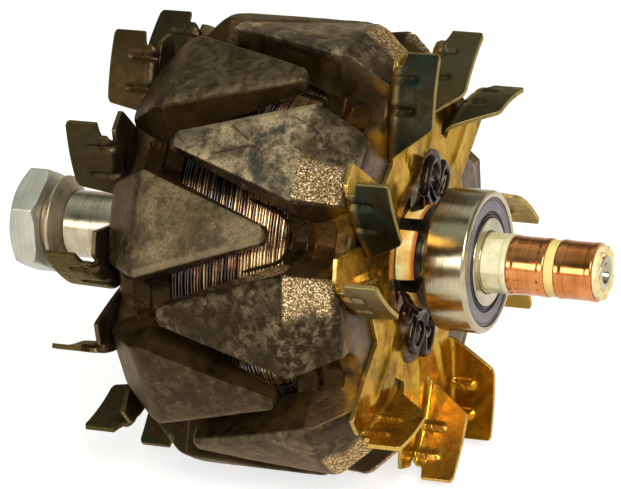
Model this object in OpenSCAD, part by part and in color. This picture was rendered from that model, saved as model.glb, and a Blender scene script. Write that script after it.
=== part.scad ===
// Claw-pole alternator rotor: a field winding between two pole cores whose claws interleave,
// a sheet-metal fan on each end face, a sealed rear bearing and two slip rings on one shaft.
// The shaft lies along X with the slip rings towards +X, and the origin is the bearing's centre.

/* [Rear bearing] */
// Outside diameter of the bearing
bearing_od = 35; // [34:0.5:40]
// Bore of the bearing
bearing_bore = 15; // [12:0.5:16]
// Width of the bearing
bearing_w = 11; // [9:0.5:14]
// Radial thickness of the inner ring
inner_ring_t = 3.35; // [2.8:0.05:3.6]
// Radial thickness of the outer ring
outer_ring_t = 2.7; // [2:0.05:3.2]
// Diameter of the balls
ball_d = 6; // [5:0.1:6.5]
// Number of balls
ball_count = 8; // [6:1:9]
// Chamfer on the rims of both rings
bearing_chamfer = 0.6; // [0.2:0.1:1]
// Thickness of each seal
seal_t = 0.9; // [0.5:0.1:1.4]
// Depth of each seal below the faces of the rings
seal_recess = 0.35; // [0.1:0.05:0.8]

/* [Pole cores] */
// Diameter over the claws
claw_d = 112; // [104:0.5:120]
// Distance between the outer faces of the two cores
stack_l = 61.3; // [58:0.1:66]
// Claws on each core
claw_count = 8; // [6:1:8]
// Angle of the rear core's first claw about the shaft
rear_claw_angle = 45; // [0:0.5:45]
// Thickness of the disc that carries the claws
disc_t = 14; // [12:0.1:15]
// Diameter of the disc in the valleys between the claws
disc_d = 82; // [76:0.5:84]
// Diameter of the hub inside the winding
hub_d = 46; // [36:0.5:54]
// Length of a claw from the face of its core to its tip
claw_l = 44.3; // [38:0.1:46]
// Length of the sloping shoulder at the root of a claw
shoulder_l = 11.5; // [8:0.1:13]
// Diameter where the shoulders start beside the face of the core
shoulder_d = 93; // [88:0.5:98]
// Distance from the face of the core back to the start of the shoulders
shoulder_setback = 0.5; // [0.2:0.1:1.5]
// Width of a claw at the top of its shoulder
claw_root_w = 26; // [18:0.1:27]
// Width of a claw at the face of its core
claw_face_w = 19; // [14:0.1:22]
// Width of a claw at its tip
claw_tip_w = 4; // [3:0.1:6]
// Radial thickness of a claw at its tip
claw_tip_t = 5; // [4:0.1:7]
// Distance from the bearing to the face of the rear core
bearing_to_core = 8.5; // [7.5:0.1:14]

/* [Winding] */
// Outside diameter of the winding
winding_d = 86; // [78:0.5:86.5]
// Wall of the spool under the winding
spool_wall = 1.5; // [1:0.1:2.5]
// Thickness of each flange of the spool
flange_t = 1.5; // [1:0.1:2.5]
// Height of the flanges over the winding
flange_lip = 0.5; // [0.2:0.1:0.8]
// Gap at each side of the tongues that fold over the rear disc between the claws
tongue_gap = 0.5; // [0.3:0.1:1.5]
// Length of those tongues
tongue_l = 9; // [5:0.1:12]
// Thickness of those tongues
tongue_t = 1.2; // [0.8:0.1:2]
// Width of the leads that leave the winding
lead_w = 4; // [3:0.1:6]
// Thickness of those leads
lead_t = 2.2; // [1.5:0.1:3]

/* [Fans] */
// Thickness of the sheet
fan_t = 1.1; // [0.8:0.1:2]
// Height of the blades above the plate
blade_h = 11.2; // [6:0.1:12]
// Diameter over the blades
fan_d = 110; // [100:0.5:112]
// Diameter of the round hub of the plate
fan_hub_d = 62; // [54:0.5:68]
// Diameter of the hole in the plate
fan_hole_d = 34; // [30:0.5:40]
// Radius at which the arms and their blades leave the hub
blade_root_r = 31; // [29:0.1:32]
// Radius at which the rear fan's blades start to rise
rear_blade_start_r = 33; // [32.5:0.1:38]
// Radius at which the front fan's blades start to rise
front_blade_start_r = 38.5; // [32.5:0.1:39.5]
// Radius at which the free edge of a blade starts
blade_edge_r = 40.5; // [40:0.1:46]
// Height over the plate at which the inner end of a blade starts
blade_start_h = 1.5; // [1:0.1:4]
// Angle that a blade sweeps between the hub and its outer end
blade_sweep = 21; // [8:0.5:26]
// Depth of the relief at the outer foot of a blade
blade_relief = 2; // [1:0.1:4]
// Height of that relief
blade_relief_h = 2.6; // [2:0.1:5]
// Height of the slope at the top of that relief
relief_slope_h = 0.8; // [0.4:0.1:1.5]
// Angle that an arm of the plate spans outside its blade
arm_span = 8; // [3:0.5:12]
// Angle that an arm spans where it leaves the hub
arm_root_span = 12; // [4:0.5:14]

/* [Drive end] */
// Diameter of the journal that carries the front bearing and the pulley
journal_d = 17; // [15:0.5:18]
// Length of the journal from the face of the front core
journal_l = 30.7; // [26:0.1:40]
// Diameter of the thread
thread_d = 15; // [12:0.5:16]
// Diameter of the washer's rim
washer_d = 23.8; // [20:0.1:28]
// Length of the cone on the washer
washer_cone_l = 2.7; // [1:0.1:5]
// Width of the washer's rim
washer_rim_w = 1.6; // [1:0.1:4]
// Width of the washer's seat against the nut
washer_seat_w = 1.7; // [0.5:0.1:4]
// Diameter of the washer's seat against the nut
washer_seat_d = 22; // [19:0.1:26]
// Width of the nut across its flats
nut_af = 24; // [22:0.5:27]
// Height of the nut
nut_h = 7.2; // [6:0.1:14]
// Angle of the nut's first corner about the shaft
nut_angle = 29.5; // [0:0.5:59]

/* [Slip rings] */
// Diameter of the slip rings
slip_ring_d = 14.5; // [14:0.1:18]
// Width of each slip ring
slip_ring_w = 9.75; // [7:0.05:12]
// Radial thickness of each slip ring
slip_ring_t = 1.3; // [0.8:0.1:1.6]
// Gap between the slip rings
slip_ring_gap = 2.4; // [1.5:0.1:4]
// Distance from the bearing to the first slip ring
sleeve_l = 6.3; // [3:0.1:12]
// Diameter of the sleeve next to the bearing
sleeve_d = 15; // [14:0.1:18]
// Diameter of the moulded band between the rings
spacer_d = 13.8; // [13:0.1:14.2]
// Length of the moulded end beyond the rings
moulded_end_l = 1.5; // [0.8:0.1:4]
// Diameter of the moulded end
moulded_end_d = 13.2; // [12:0.1:14.2]
// Diameter of the shaft inside the slip rings
shaft_tail_d = 8.4; // [7:0.1:9.6]
// Diameter of the centre drilling at the mouth
centre_hole_d = 5.2; // [3:0.1:6]
// Length of the cone at that mouth
centre_cone_l = 3.6; // [2:0.1:5]
// Diameter of the pilot drilling beyond the cone
centre_pilot_d = 2.1; // [1:0.1:2.6]
// Depth of the pilot drilling
centre_pilot_l = 8.3; // [6:0.1:12]

/* [Terminal collar] */
// Outside diameter of the collar
collar_d = 26; // [24:0.1:29]
// Length of the collar from the face of the rear core
collar_l = 4.7; // [4:0.1:6]
// Depth of the slots in the collar
collar_slot_l = 3.4; // [1:0.1:3.5]
// Width of the slots in the collar
collar_slot_w = 4.5; // [2:0.1:6]
// Diameter reached by the resin over the leads
resin_d = 46; // [40:0.5:52]
// Angle that each lump of resin spans
resin_span = 46; // [20:1:70]
// Height of the resin above the plate of the fan
resin_h = 4.1; // [3.5:0.1:4.5]
// Height of the resin beside the collar
resin_collar_h = 3.3; // [1.5:0.1:3.4]
// Height of the shoulder at the resin's outer edge
resin_edge_h = 2.4; // [1:0.1:3.4]
// Width of that shoulder
resin_edge_w = 2; // [0.5:0.1:3]

/* [Hidden] */
$fn = 96;

// Clearance between pieces that fit one round another
fit_gap = 0.05;
// Clearance between a seal and the inner ring that turns past it
seal_gap = 0.08;
// Clearance between the winding's spool and the claws over it
claw_gap = 0.5;
// Overrun of a cutting shape past the face that it cuts
cut = 1;
// Height of the step from the journal up to the seat of the cores
core_step = 0.5;
// Angle of the nut's chamfer, and how far inside the flats it ends
nut_chamfer_angle = 30;
nut_chamfer_in = 0.3;
// Number of the valley between two rear claws through which the upper lead passes
lead_valley = 1;

// Angles of the blades about the shaft: the spacing is uneven, which breaks up the fan's note
rear_blade_angles = [12.5, 37.5, 81.5, 112, 148.5, 189.5, 212.5, 255.5, 283.5, 324.5];
front_blade_angles = [13.5, 47.5, 82.5, 110.5, 145.5, 179.5, 213.5, 247.5, 280.5, 316.5, 348.5];
// Points worked out along each blade
blade_stations = 6;
// Length over which the direction of a blade is measured
blade_probe = 0.1;
// Angles of the slots in the terminal collar
collar_slot_angles = [55.5, 164.5, 235.5, 344.5];

// Places along the shaft, counted from the bearing's centre towards the drive end
bearing_face = bearing_w / 2;
rear_face = bearing_face + bearing_to_core;
front_face = rear_face + stack_l;
journal_end = front_face + journal_l;
washer_rim = journal_end + washer_cone_l;
washer_seat = washer_rim + washer_rim_w;
nut_face = washer_seat + washer_seat_w;
nut_end = nut_face + nut_h;
inner_ring_start = -bearing_face - sleeve_l;
inner_ring_end = inner_ring_start - slip_ring_w;
outer_ring_start = inner_ring_end - slip_ring_gap;
outer_ring_end = outer_ring_start - slip_ring_w;
moulded_end = outer_ring_end - moulded_end_l;

// Radii
core_bore_r = journal_d / 2 + core_step;
core_seat_r = core_bore_r - fit_gap;
claw_r = claw_d / 2;
disc_r = disc_d / 2;
hub_r = hub_d / 2;
winding_r = winding_d / 2;
flange_r = winding_r + flange_lip;
claw_under_r = flange_r + claw_gap;
spool_r = hub_r + fit_gap + spool_wall;
inner_ring_r = bearing_bore / 2 + inner_ring_t;
race_r = bearing_od / 2 - outer_ring_t;
ball_pitch_r = (inner_ring_r + race_r) / 2;
slip_seat_r = slip_ring_d / 2 - slip_ring_t - fit_gap;
fan_r = fan_d / 2;
nut_corner_r = nut_af / 2 / cos(30);
// Depth to which a claw is rooted in its disc
claw_root_t = 6;
thread_chamfer = 1;

claw_pitch = 360 / claw_count;
front_claw_angle = rear_claw_angle - claw_pitch / 2;
// The valleys between the rear claws: two take the leads and the others take the tongues
function valley_angle(i) = rear_claw_angle + (i + 1 / 2) * claw_pitch;
half_turn_claws = floor(claw_count / 2);
upper_lead_angle = valley_angle(lead_valley);
lower_lead_angle = valley_angle(lead_valley + half_turn_claws);
tongue_valleys = [for (i = [0 : claw_count - 1])
    if (i % half_turn_claws != lead_valley) valley_angle(i)];
// Width of a tongue: the valley where the claws are widest, less a gap at each side
tongue_w = 2 * (disc_r * sin(claw_pitch / 2) - claw_root_w / 2 - tongue_gap) / cos(claw_pitch / 2);

// A point given by its radius and its angle about the shaft
function polar(r, angle) = [r * cos(angle), r * sin(angle)];

// The centre line of a blade: its angle falls evenly from the outer end to the inner end
function blade_angle(r, tip) = tip - blade_sweep * (fan_r - r) / (fan_r - blade_root_r);
function blade_point(r, tip) = polar(r, blade_angle(r, tip));
function blade_normal(r, tip) = let(step = blade_point(r + blade_probe, tip) - blade_point(r - blade_probe, tip))
    [-step[1], step[0]] / norm(step);
function blade_radius(i) = blade_root_r + (fan_r - blade_root_r) * i / (blade_stations - 1);
function blade_side(tip, offset) = [for (i = [0 : blade_stations - 1])
    blade_point(blade_radius(i), tip) + offset * blade_normal(blade_radius(i), tip)];
function reversed(list) = [for (i = [len(list) - 1 : -1 : 0]) list[i]];

// Turns the shaft's own axis, along which the pieces are drawn, to lie along X
module along_shaft() {
    rotate([90, 0, -90]) children();
}

// A turned piece from the radius and place of each corner of its half section
module turned(section) {
    rotate_extrude() polygon(section);
}

// A plain turned sleeve
module sleeve(r_in, r_out, start, end) {
    turned([[r_in, start], [r_out, start], [r_out, end], [r_in, end]]);
}

module shaft() {
    color("silver") along_shaft() {
        tail_r = shaft_tail_d / 2;
        journal_r = journal_d / 2;
        bearing_seat_r = bearing_bore / 2 - fit_gap;
        thread_r = thread_d / 2;
        pilot_r = centre_pilot_d / 2;
        turned([
            [0, moulded_end + centre_pilot_l],
            [pilot_r, moulded_end + centre_pilot_l],
            [pilot_r, moulded_end + centre_cone_l],
            [centre_hole_d / 2, moulded_end],
            [tail_r, moulded_end],
            [tail_r, -bearing_face],
            [bearing_seat_r, -bearing_face],
            [bearing_seat_r, bearing_face],
            [core_seat_r, bearing_face],
            [core_seat_r, front_face],
            [journal_r, front_face],
            [journal_r, journal_end],
            [thread_r, journal_end],
            [thread_r, nut_end - thread_chamfer],
            [thread_r - thread_chamfer, nut_end],
            [0, nut_end]
        ]);
    }
}

module pulley_nut() {
    chamfer_r = nut_af / 2 - nut_chamfer_in;
    slope = tan(nut_chamfer_angle);
    outside_r = nut_corner_r + cut;
    color("lightgray") along_shaft() difference() {
        intersection() {
            translate([0, 0, nut_face]) rotate(nut_angle) cylinder(h = nut_h, r = nut_corner_r, $fn = 6);
            turned([
                [0, nut_face - cut],
                [outside_r, nut_face - cut],
                [outside_r, nut_end - (outside_r - chamfer_r) * slope],
                [chamfer_r, nut_end],
                [0, nut_end]
            ]);
        }
        translate([0, 0, nut_face - cut]) cylinder(h = nut_h + 2 * cut, r = thread_d / 2 + fit_gap);
    }
}

module nut_washer() {
    bore_r = thread_d / 2 + fit_gap;
    color("gray") along_shaft() turned([
        [bore_r, journal_end],
        [journal_d / 2, journal_end],
        [washer_d / 2, washer_rim],
        [washer_d / 2, washer_seat],
        [washer_seat_d / 2, washer_seat],
        [washer_seat_d / 2, nut_face],
        [bore_r, nut_face]
    ]);
}

// The outline of a claw seen from outside, drawn along the shaft and running past both its ends
module claw_plan() {
    right = [
        [claw_face_w / 2, -cut],
        [claw_face_w / 2, 0],
        [claw_root_w / 2, shoulder_l],
        [claw_tip_w / 2, claw_l],
        [claw_tip_w / 2, claw_l + cut]
    ];
    left = [for (p = reversed(right)) [-p[0], p[1]]];
    polygon(concat(right, left));
}

// The side view of a claw, drawn outwards from the shaft and running past its outer face
module claw_section() {
    root_r = disc_r - claw_root_t;
    slope = (shoulder_l - shoulder_setback) / (claw_r - shoulder_d / 2);
    polygon([
        [root_r, disc_t / 2],
        [root_r, shoulder_setback],
        [shoulder_d / 2, shoulder_setback],
        [claw_r + cut, shoulder_l + cut * slope],
        [claw_r + cut, claw_l],
        [claw_r - claw_tip_t, claw_l],
        [claw_under_r, disc_t]
    ]);
}

// One claw: its outline and its side view, cut to the round of the rotor
module claw() {
    intersection() {
        rotate([90, 0, 90]) linear_extrude(claw_r + cut) claw_plan();
        rotate([90, 0, 0]) linear_extrude(claw_root_w + 2 * cut, center = true) claw_section();
        translate([0, 0, -cut]) cylinder(h = claw_l + 2 * cut, r = claw_r);
    }
}

// One pole core, drawn from its outer face inwards
module pole_core(first_claw) {
    turned([
        [core_bore_r, 0],
        [disc_r, 0],
        [disc_r, disc_t],
        [hub_r, disc_t],
        [hub_r, stack_l / 2],
        [core_bore_r, stack_l / 2]
    ]);
    for (i = [0 : claw_count - 1])
        rotate(first_claw + i * claw_pitch) claw();
}

module front_pole_core() {
    color("dimgray") along_shaft() translate([0, 0, front_face]) mirror([0, 0, 1])
        pole_core(front_claw_angle);
}

// The groove in the rear face through which a lead runs in to the collar
module lead_groove(angle) {
    width = lead_w + 2 * fit_gap;
    rotate(angle) translate([core_seat_r + cut, -width / 2, -cut])
        cube([disc_r, width, lead_t + fit_gap + cut]);
}

module rear_pole_core() {
    color("dimgray") along_shaft() translate([0, 0, rear_face]) difference() {
        pole_core(rear_claw_angle);
        lead_groove(upper_lead_angle);
        lead_groove(lower_lead_angle);
    }
}

module coil_bobbin() {
    start = rear_face + disc_t + fit_gap;
    end = front_face - disc_t - fit_gap;
    color("saddlebrown") along_shaft() {
        turned([
            [hub_r + fit_gap, start],
            [flange_r, start],
            [flange_r, start + flange_t],
            [spool_r, start + flange_t],
            [spool_r, end - flange_t],
            [flange_r, end - flange_t],
            [flange_r, end],
            [hub_r + fit_gap, end]
        ]);
        for (angle = tongue_valleys)
            rotate(angle) translate([disc_r + fit_gap, -tongue_w / 2, start - tongue_l])
                cube([tongue_t, tongue_w, tongue_l + flange_t]);
    }
}

module field_winding() {
    start = rear_face + disc_t + flange_t + 2 * fit_gap;
    end = front_face - disc_t - flange_t - 2 * fit_gap;
    color("sienna") along_shaft() sleeve(spool_r + fit_gap, winding_r, start, end);
}

// A lead that runs over the rim of the rear disc and in along its groove to the collar
module field_lead(angle) {
    inner_r = collar_d / 2 + fit_gap;
    rim_r = disc_r + fit_gap;
    color("black") along_shaft() rotate(angle) translate([0, -lead_w / 2, rear_face]) {
        translate([inner_r, 0, 0]) cube([rim_r + lead_t - inner_r, lead_w, lead_t]);
        translate([rim_r, 0, 0]) cube([lead_t, lead_w, disc_t]);
    }
}

module upper_field_lead() {
    field_lead(upper_lead_angle);
}

module lower_field_lead() {
    field_lead(lower_lead_angle);
}

// The outline of one arm of a fan: its blade stands along the edge that it starts from
module fan_arm(tip) {
    arm_r = fan_r - blade_relief - fan_t;
    foot = [for (i = [0 : blade_stations - 1])
        let(r = blade_root_r + (arm_r - blade_root_r) * i / (blade_stations - 1))
            blade_point(r, tip) + fan_t / 2 * blade_normal(r, tip)];
    polygon(concat(
        [polar(fan_hole_d / 2 + fan_t, blade_angle(blade_root_r, tip))],
        foot,
        [polar(arm_r, tip + arm_span),
         polar(blade_edge_r, tip + arm_span),
         polar(fan_hub_d / 2 - fan_t, tip + arm_root_span)]
    ));
}

// One fan, drawn outwards from the face of its core, with the radius at which its blades start
module fan(tips, start_r) {
    foot_r = fan_r - blade_relief;
    top = fan_t + blade_h;
    foot = fan_t / 2;
    linear_extrude(fan_t) difference() {
        union() {
            circle(d = fan_hub_d);
            for (tip = tips) fan_arm(tip);
        }
        circle(d = fan_hole_d);
    }
    intersection() {
        linear_extrude(top + cut)
            for (tip = tips)
                polygon(concat(blade_side(tip, 0), reversed(blade_side(tip, fan_t))));
        turned([
            [start_r, foot],
            [foot_r, foot],
            [foot_r, fan_t + blade_relief_h - relief_slope_h],
            [fan_r, fan_t + blade_relief_h],
            [fan_r, top],
            [blade_edge_r, top],
            [start_r, fan_t + blade_start_h]
        ]);
    }
}

module front_fan() {
    color("darkolivegreen") along_shaft() translate([0, 0, front_face])
        fan(front_blade_angles, front_blade_start_r);
}

module rear_fan() {
    color("goldenrod") along_shaft() translate([0, 0, rear_face]) mirror([0, 0, 1])
        fan(rear_blade_angles, rear_blade_start_r);
}

module terminal_collar() {
    start = rear_face - collar_l;
    color("khaki") along_shaft() difference() {
        sleeve(core_bore_r, collar_d / 2, start, rear_face);
        for (angle = collar_slot_angles)
            rotate(angle) translate([0, -collar_slot_w / 2, start - cut])
                cube([collar_d, collar_slot_w, collar_slot_l + cut]);
    }
}

// A lump of resin on the plate of the rear fan, over the end of a lead
module lead_resin(angle) {
    seat = rear_face - fan_t;
    inner_r = collar_d / 2 + fit_gap;
    outer_r = resin_d / 2;
    color("black") along_shaft() rotate(angle - resin_span / 2)
        rotate_extrude(angle = resin_span) polygon([
            [inner_r, seat],
            [outer_r, seat],
            [outer_r - resin_edge_w, seat - resin_edge_h],
            [(inner_r + outer_r) / 2, seat - resin_h],
            [inner_r, seat - resin_collar_h]
        ]);
}

module upper_lead_resin() {
    lead_resin(upper_lead_angle);
}

module lower_lead_resin() {
    lead_resin(lower_lead_angle);
}

// The groove in which the balls run
module ball_race() {
    rotate_extrude() translate([ball_pitch_r, 0]) circle(d = ball_d);
}

module bearing_inner_ring() {
    c = bearing_chamfer;
    bore_r = bearing_bore / 2;
    color("lightsteelblue") along_shaft() difference() {
        turned([
            [bore_r, -bearing_face + c],
            [bore_r + c, -bearing_face],
            [inner_ring_r, -bearing_face],
            [inner_ring_r, bearing_face],
            [bore_r + c, bearing_face],
            [bore_r, bearing_face - c]
        ]);
        ball_race();
    }
}

module bearing_outer_ring() {
    c = bearing_chamfer;
    outer_r = bearing_od / 2;
    color("lightsteelblue") along_shaft() difference() {
        turned([
            [race_r, -bearing_face],
            [outer_r - c, -bearing_face],
            [outer_r, -bearing_face + c],
            [outer_r, bearing_face - c],
            [outer_r - c, bearing_face],
            [race_r, bearing_face]
        ]);
        ball_race();
    }
}

// A seal held in the outer ring, with its lip just clear of the inner ring
module bearing_seal(start) {
    color("slategray") along_shaft()
        sleeve(inner_ring_r + seal_gap, race_r - fit_gap, start, start + seal_t);
}

module bearing_rear_seal() {
    bearing_seal(-bearing_face + seal_recess);
}

module bearing_front_seal() {
    bearing_seal(bearing_face - seal_recess - seal_t);
}

module bearing_balls() {
    color("white") along_shaft()
        for (i = [0 : ball_count - 1])
            rotate(i * 360 / ball_count) translate([ball_pitch_r, 0, 0]) sphere(d = ball_d - 2 * fit_gap);
}

module slip_ring_moulding() {
    bore_r = shaft_tail_d / 2 + fit_gap;
    sleeve_r = sleeve_d / 2;
    spacer_r = spacer_d / 2;
    color("lemonchiffon") along_shaft() turned([
        [bore_r, moulded_end],
        [moulded_end_d / 2, moulded_end],
        [moulded_end_d / 2, outer_ring_end],
        [slip_seat_r, outer_ring_end],
        [slip_seat_r, outer_ring_start],
        [spacer_r, outer_ring_start],
        [spacer_r, inner_ring_end],
        [slip_seat_r, inner_ring_end],
        [slip_seat_r, inner_ring_start],
        [sleeve_r, inner_ring_start],
        [sleeve_r, -bearing_face],
        [bore_r, -bearing_face]
    ]);
}

// A slip ring moulded in between two shoulders
module slip_ring(start, end) {
    color("peru") along_shaft()
        sleeve(slip_seat_r + fit_gap, slip_ring_d / 2, end + fit_gap, start - fit_gap);
}

module inner_slip_ring() {
    slip_ring(inner_ring_start, inner_ring_end);
}

module outer_slip_ring() {
    slip_ring(outer_ring_start, outer_ring_end);
}

shaft();
pulley_nut();
nut_washer();
front_pole_core();
rear_pole_core();
coil_bobbin();
field_winding();
upper_field_lead();
lower_field_lead();
front_fan();
rear_fan();
terminal_collar();
upper_lead_resin();
lower_lead_resin();
bearing_inner_ring();
bearing_outer_ring();
bearing_rear_seal();
bearing_front_seal();
bearing_balls();
slip_ring_moulding();
inner_slip_ring();
outer_slip_ring();
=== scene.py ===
# %% [markdown]
# # A claw-pole alternator rotor
#
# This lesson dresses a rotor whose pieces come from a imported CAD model. The CAD model fixes every
# size and place, and this file adds what the eye looks for: rounded forgings, wound wire, folded
# sheet metal, turned copper and the stains of long use. New surfaces are whole numpy arrays.

# %% Load the fixed frame
import math
import bmesh
import bpy
import numpy as np
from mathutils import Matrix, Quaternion, Vector


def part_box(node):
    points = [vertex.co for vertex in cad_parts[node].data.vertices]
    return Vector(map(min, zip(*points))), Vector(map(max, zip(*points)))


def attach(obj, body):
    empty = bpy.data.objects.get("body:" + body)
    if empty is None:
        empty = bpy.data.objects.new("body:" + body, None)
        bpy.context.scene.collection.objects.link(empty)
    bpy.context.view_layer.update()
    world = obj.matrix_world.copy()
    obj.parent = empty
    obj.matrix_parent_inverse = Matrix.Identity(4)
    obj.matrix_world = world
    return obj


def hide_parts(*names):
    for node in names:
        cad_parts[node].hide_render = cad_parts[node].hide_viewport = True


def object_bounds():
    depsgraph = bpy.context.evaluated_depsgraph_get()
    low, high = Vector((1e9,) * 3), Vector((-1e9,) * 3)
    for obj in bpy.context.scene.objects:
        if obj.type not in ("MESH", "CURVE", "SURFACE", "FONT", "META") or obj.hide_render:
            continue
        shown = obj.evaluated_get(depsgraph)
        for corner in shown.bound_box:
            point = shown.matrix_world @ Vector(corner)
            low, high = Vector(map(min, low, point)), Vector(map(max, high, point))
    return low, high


MM = 0.001
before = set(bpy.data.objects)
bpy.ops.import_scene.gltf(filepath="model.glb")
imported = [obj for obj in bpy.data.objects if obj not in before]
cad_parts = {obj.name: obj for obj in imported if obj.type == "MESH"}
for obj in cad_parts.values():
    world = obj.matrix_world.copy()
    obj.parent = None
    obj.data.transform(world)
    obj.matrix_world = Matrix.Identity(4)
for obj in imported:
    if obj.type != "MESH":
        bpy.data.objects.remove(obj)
cad_low, cad_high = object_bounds()
print("CAD box, mm:", [round(v / MM, 1) for v in (*cad_low, *cad_high)])

# %% [markdown]
# ## Camera
#
# A long lens far away keeps the claws' edges nearly parallel, as in a product picture. The focal
# length in pixels and the distance were solved from the rim of the bearing, a circle of known size.
# The rotor lies on one claw, as it comes to rest on a table, and the camera leans a little for it.

# %% Camera at the photograph's view
PICTURE_WIDTH = 621
FOCAL_PIXELS = 4084.7
CAMERA_PLACE = Vector((346.33, -865.83, 337.67)) * MM
CAMERA_AZIMUTH = math.radians(24.148)
CAMERA_ELEVATION = math.radians(19.580)
CAMERA_LEAN = math.radians(-3.138)

camera_data = bpy.data.cameras.new("camera")
camera_data.sensor_width = 36
camera_data.lens = FOCAL_PIXELS * camera_data.sensor_width / PICTURE_WIDTH
camera_data.clip_start = 0.01
camera_data.clip_end = 20
camera = bpy.data.objects.new("camera", camera_data)
back = Vector((
    math.sin(CAMERA_AZIMUTH) * math.cos(CAMERA_ELEVATION),
    -math.cos(CAMERA_AZIMUTH) * math.cos(CAMERA_ELEVATION),
    math.sin(CAMERA_ELEVATION),
))
camera.location = CAMERA_PLACE
camera.rotation_mode = "QUATERNION"
camera.rotation_quaternion = (-back).to_track_quat("-Z", "Y") @ Quaternion((0, 0, 1), CAMERA_LEAN)
bpy.context.scene.collection.objects.link(camera)
bpy.context.scene.camera = camera
print("lens, mm:", round(camera_data.lens, 1))

# %% [markdown]
# ## Shapes as arrays
#
# Everything here turns about one shaft, so a point is given by its place along the shaft, its
# radius and its angle. A surface is a grid of such points, and one function makes the quads that
# join them. Corners are rounded before a section is carried round or along the shaft, because real
# edges always catch a line of light.


# %% Points and quads
def shaft_span(node):
    """Where a CAD node starts and ends along the shaft, and its largest radius, in millimetres.
    Places count from the bearing's centre towards the drive end, which is the -X direction."""
    low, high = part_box(node)
    return -high.x / MM, -low.x / MM, max(-low.y, high.y, -low.z, high.z) / MM


def on_shaft(along, radius, angle):
    """Points in metres: x is minus the place along the shaft, y is minus the radius times the cosine
    of the angle, and z is the radius times its sine. The angle is in degrees."""
    turn = np.radians(angle)
    parts = np.broadcast_arrays(-along, -radius * np.cos(turn), radius * np.sin(turn))
    return np.stack(parts, -1) * MM


def grid_quads(rows, cols, close_rows=False, close_cols=False):
    """The quads of a grid whose points are numbered row after row. A closed direction joins its
    last points to its first ones."""
    i = np.arange(rows if close_rows else rows - 1)
    j = np.arange(cols if close_cols else cols - 1)
    i, j = np.meshgrid(i, j, indexing="ij")
    down = (i + 1) % rows
    right = (j + 1) % cols
    quads = [i * cols + j, down * cols + j, down * cols + right, i * cols + right]
    return np.stack(quads, -1).reshape(-1, 4)


def join(shapes):
    """Several shapes as one: the points are stacked, and the faces of each count on from the last."""
    starts = np.cumsum([0] + [len(points) for points, _ in shapes])
    points = np.concatenate([points for points, _ in shapes])
    quads = np.concatenate([quads + start for (_, quads), start in zip(shapes, starts)])
    return points, quads


def slab(above, below, close_rows=False):
    """A closed solid between two grids of points of one size: the grids, and a rim of quads round
    their open edges."""
    rows, cols = above.shape[:2]
    count = rows * cols
    top = grid_quads(rows, cols, close_rows)
    index = np.arange(count).reshape(rows, cols)
    if close_rows:
        edges = [np.append(index[:, c], index[0, c]) for c in (0, -1)]
    else:
        edges = [np.concatenate([index[0], index[1:, -1], index[-1, -2::-1], index[-2::-1, 0]])]
    rims = [np.stack([e[:-1], e[1:], e[1:] + count, e[:-1] + count], -1) for e in edges]
    points = np.concatenate([above.reshape(-1, 3), below.reshape(-1, 3)])
    return points, np.concatenate([top, top + count] + rims)


# %% Sections and curves
def rounded(corners, reach, steps=5, fill=0):
    """A closed outline with rounded corners. The curve at a corner C starts at A, a reach before it,
    ends at B, a reach after it, and is (1-s)^2 A + 2s(1-s) C + s^2 B. The reach is at most 0.45 of
    the shorter side. Each straight side gets fill further points. Leading axes are carried along."""
    corners = np.asarray(corners, float)
    before = np.roll(corners, 1, -2) - corners
    after = np.roll(corners, -1, -2) - corners
    length_before = np.linalg.norm(before, axis=-1, keepdims=True)
    length_after = np.linalg.norm(after, axis=-1, keepdims=True)
    limit = 0.45 * np.minimum(length_before, length_after)
    reach = np.minimum(np.asarray(reach, float)[..., None], limit)
    start = corners + before / length_before * reach
    end = corners + after / length_after * reach
    start, corners, end = (p[..., None, :] for p in (start, corners, end))
    s = np.linspace(0, 1, steps)[:, None]
    curve = (1 - s) ** 2 * start + 2 * s * (1 - s) * corners + s**2 * end
    f = np.linspace(0, 1, fill + 2)[1:-1, None]
    side = end + f * (np.roll(start, -1, -3) - end)
    outline = np.concatenate([curve, side], -2)
    return outline.reshape(*outline.shape[:-3], -1, 2)


def turned(corners, reach=0.3, steps=4, turns=128):
    """A turned piece: a half section of (place, radius) corners, rounded and carried round once."""
    section = rounded(corners, np.full(len(corners), reach), steps, fill=2)
    angle = np.linspace(0, 360, turns, endpoint=False)[:, None]
    points = on_shaft(section[:, 0], np.maximum(section[:, 1], 0), angle)
    return points.reshape(-1, 3), grid_quads(turns, len(section), True, True)


def curve_through(points, count=48):
    """A smooth line through a few points: a Catmull-Rom curve, sampled evenly in its parameter."""
    points = np.asarray(points, float)
    padded = np.concatenate([2 * points[:1] - points[1:2], points, 2 * points[-1:] - points[-2:-1]])
    at = np.linspace(0, len(points) - 1 - 1e-6, count)
    i = at.astype(int)
    s = (at - i)[:, None]
    a, b, c, d = (padded[i + k] for k in range(4))
    return 0.5 * (2 * b + (c - a) * s + (2 * a - 5 * b + 4 * c - d) * s**2 + (3 * b - a - 3 * c + d) * s**3)


DOME_RINGS = 5


def tube(path, radius, up, sides=12):
    """A closed tube round a path of points in metres. Each ring lies square to the path, on the path's
    cross product with the up direction and its cross product again, and each end shrinks in a dome."""
    ahead = np.gradient(path, axis=0)
    ahead /= np.linalg.norm(ahead, axis=1, keepdims=True)
    side = np.cross(ahead, up)
    side /= np.linalg.norm(side, axis=1, keepdims=True)
    other = np.cross(ahead, side)
    grow = np.linspace(0, 1, DOME_RINGS, endpoint=False)
    dome = np.sqrt(1 - (1 - grow) ** 2)
    size = np.concatenate([dome, np.ones(len(path) - 2 * DOME_RINGS), dome[::-1]]) * radius * MM
    turn = np.linspace(0, 2 * np.pi, sides, endpoint=False)[:, None]
    spokes = np.cos(turn) * side[:, None] + np.sin(turn) * other[:, None]
    rings = path[:, None] + size[:, None, None] * spokes
    return rings.reshape(-1, 3), grid_quads(len(path), sides, close_cols=True)


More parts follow.
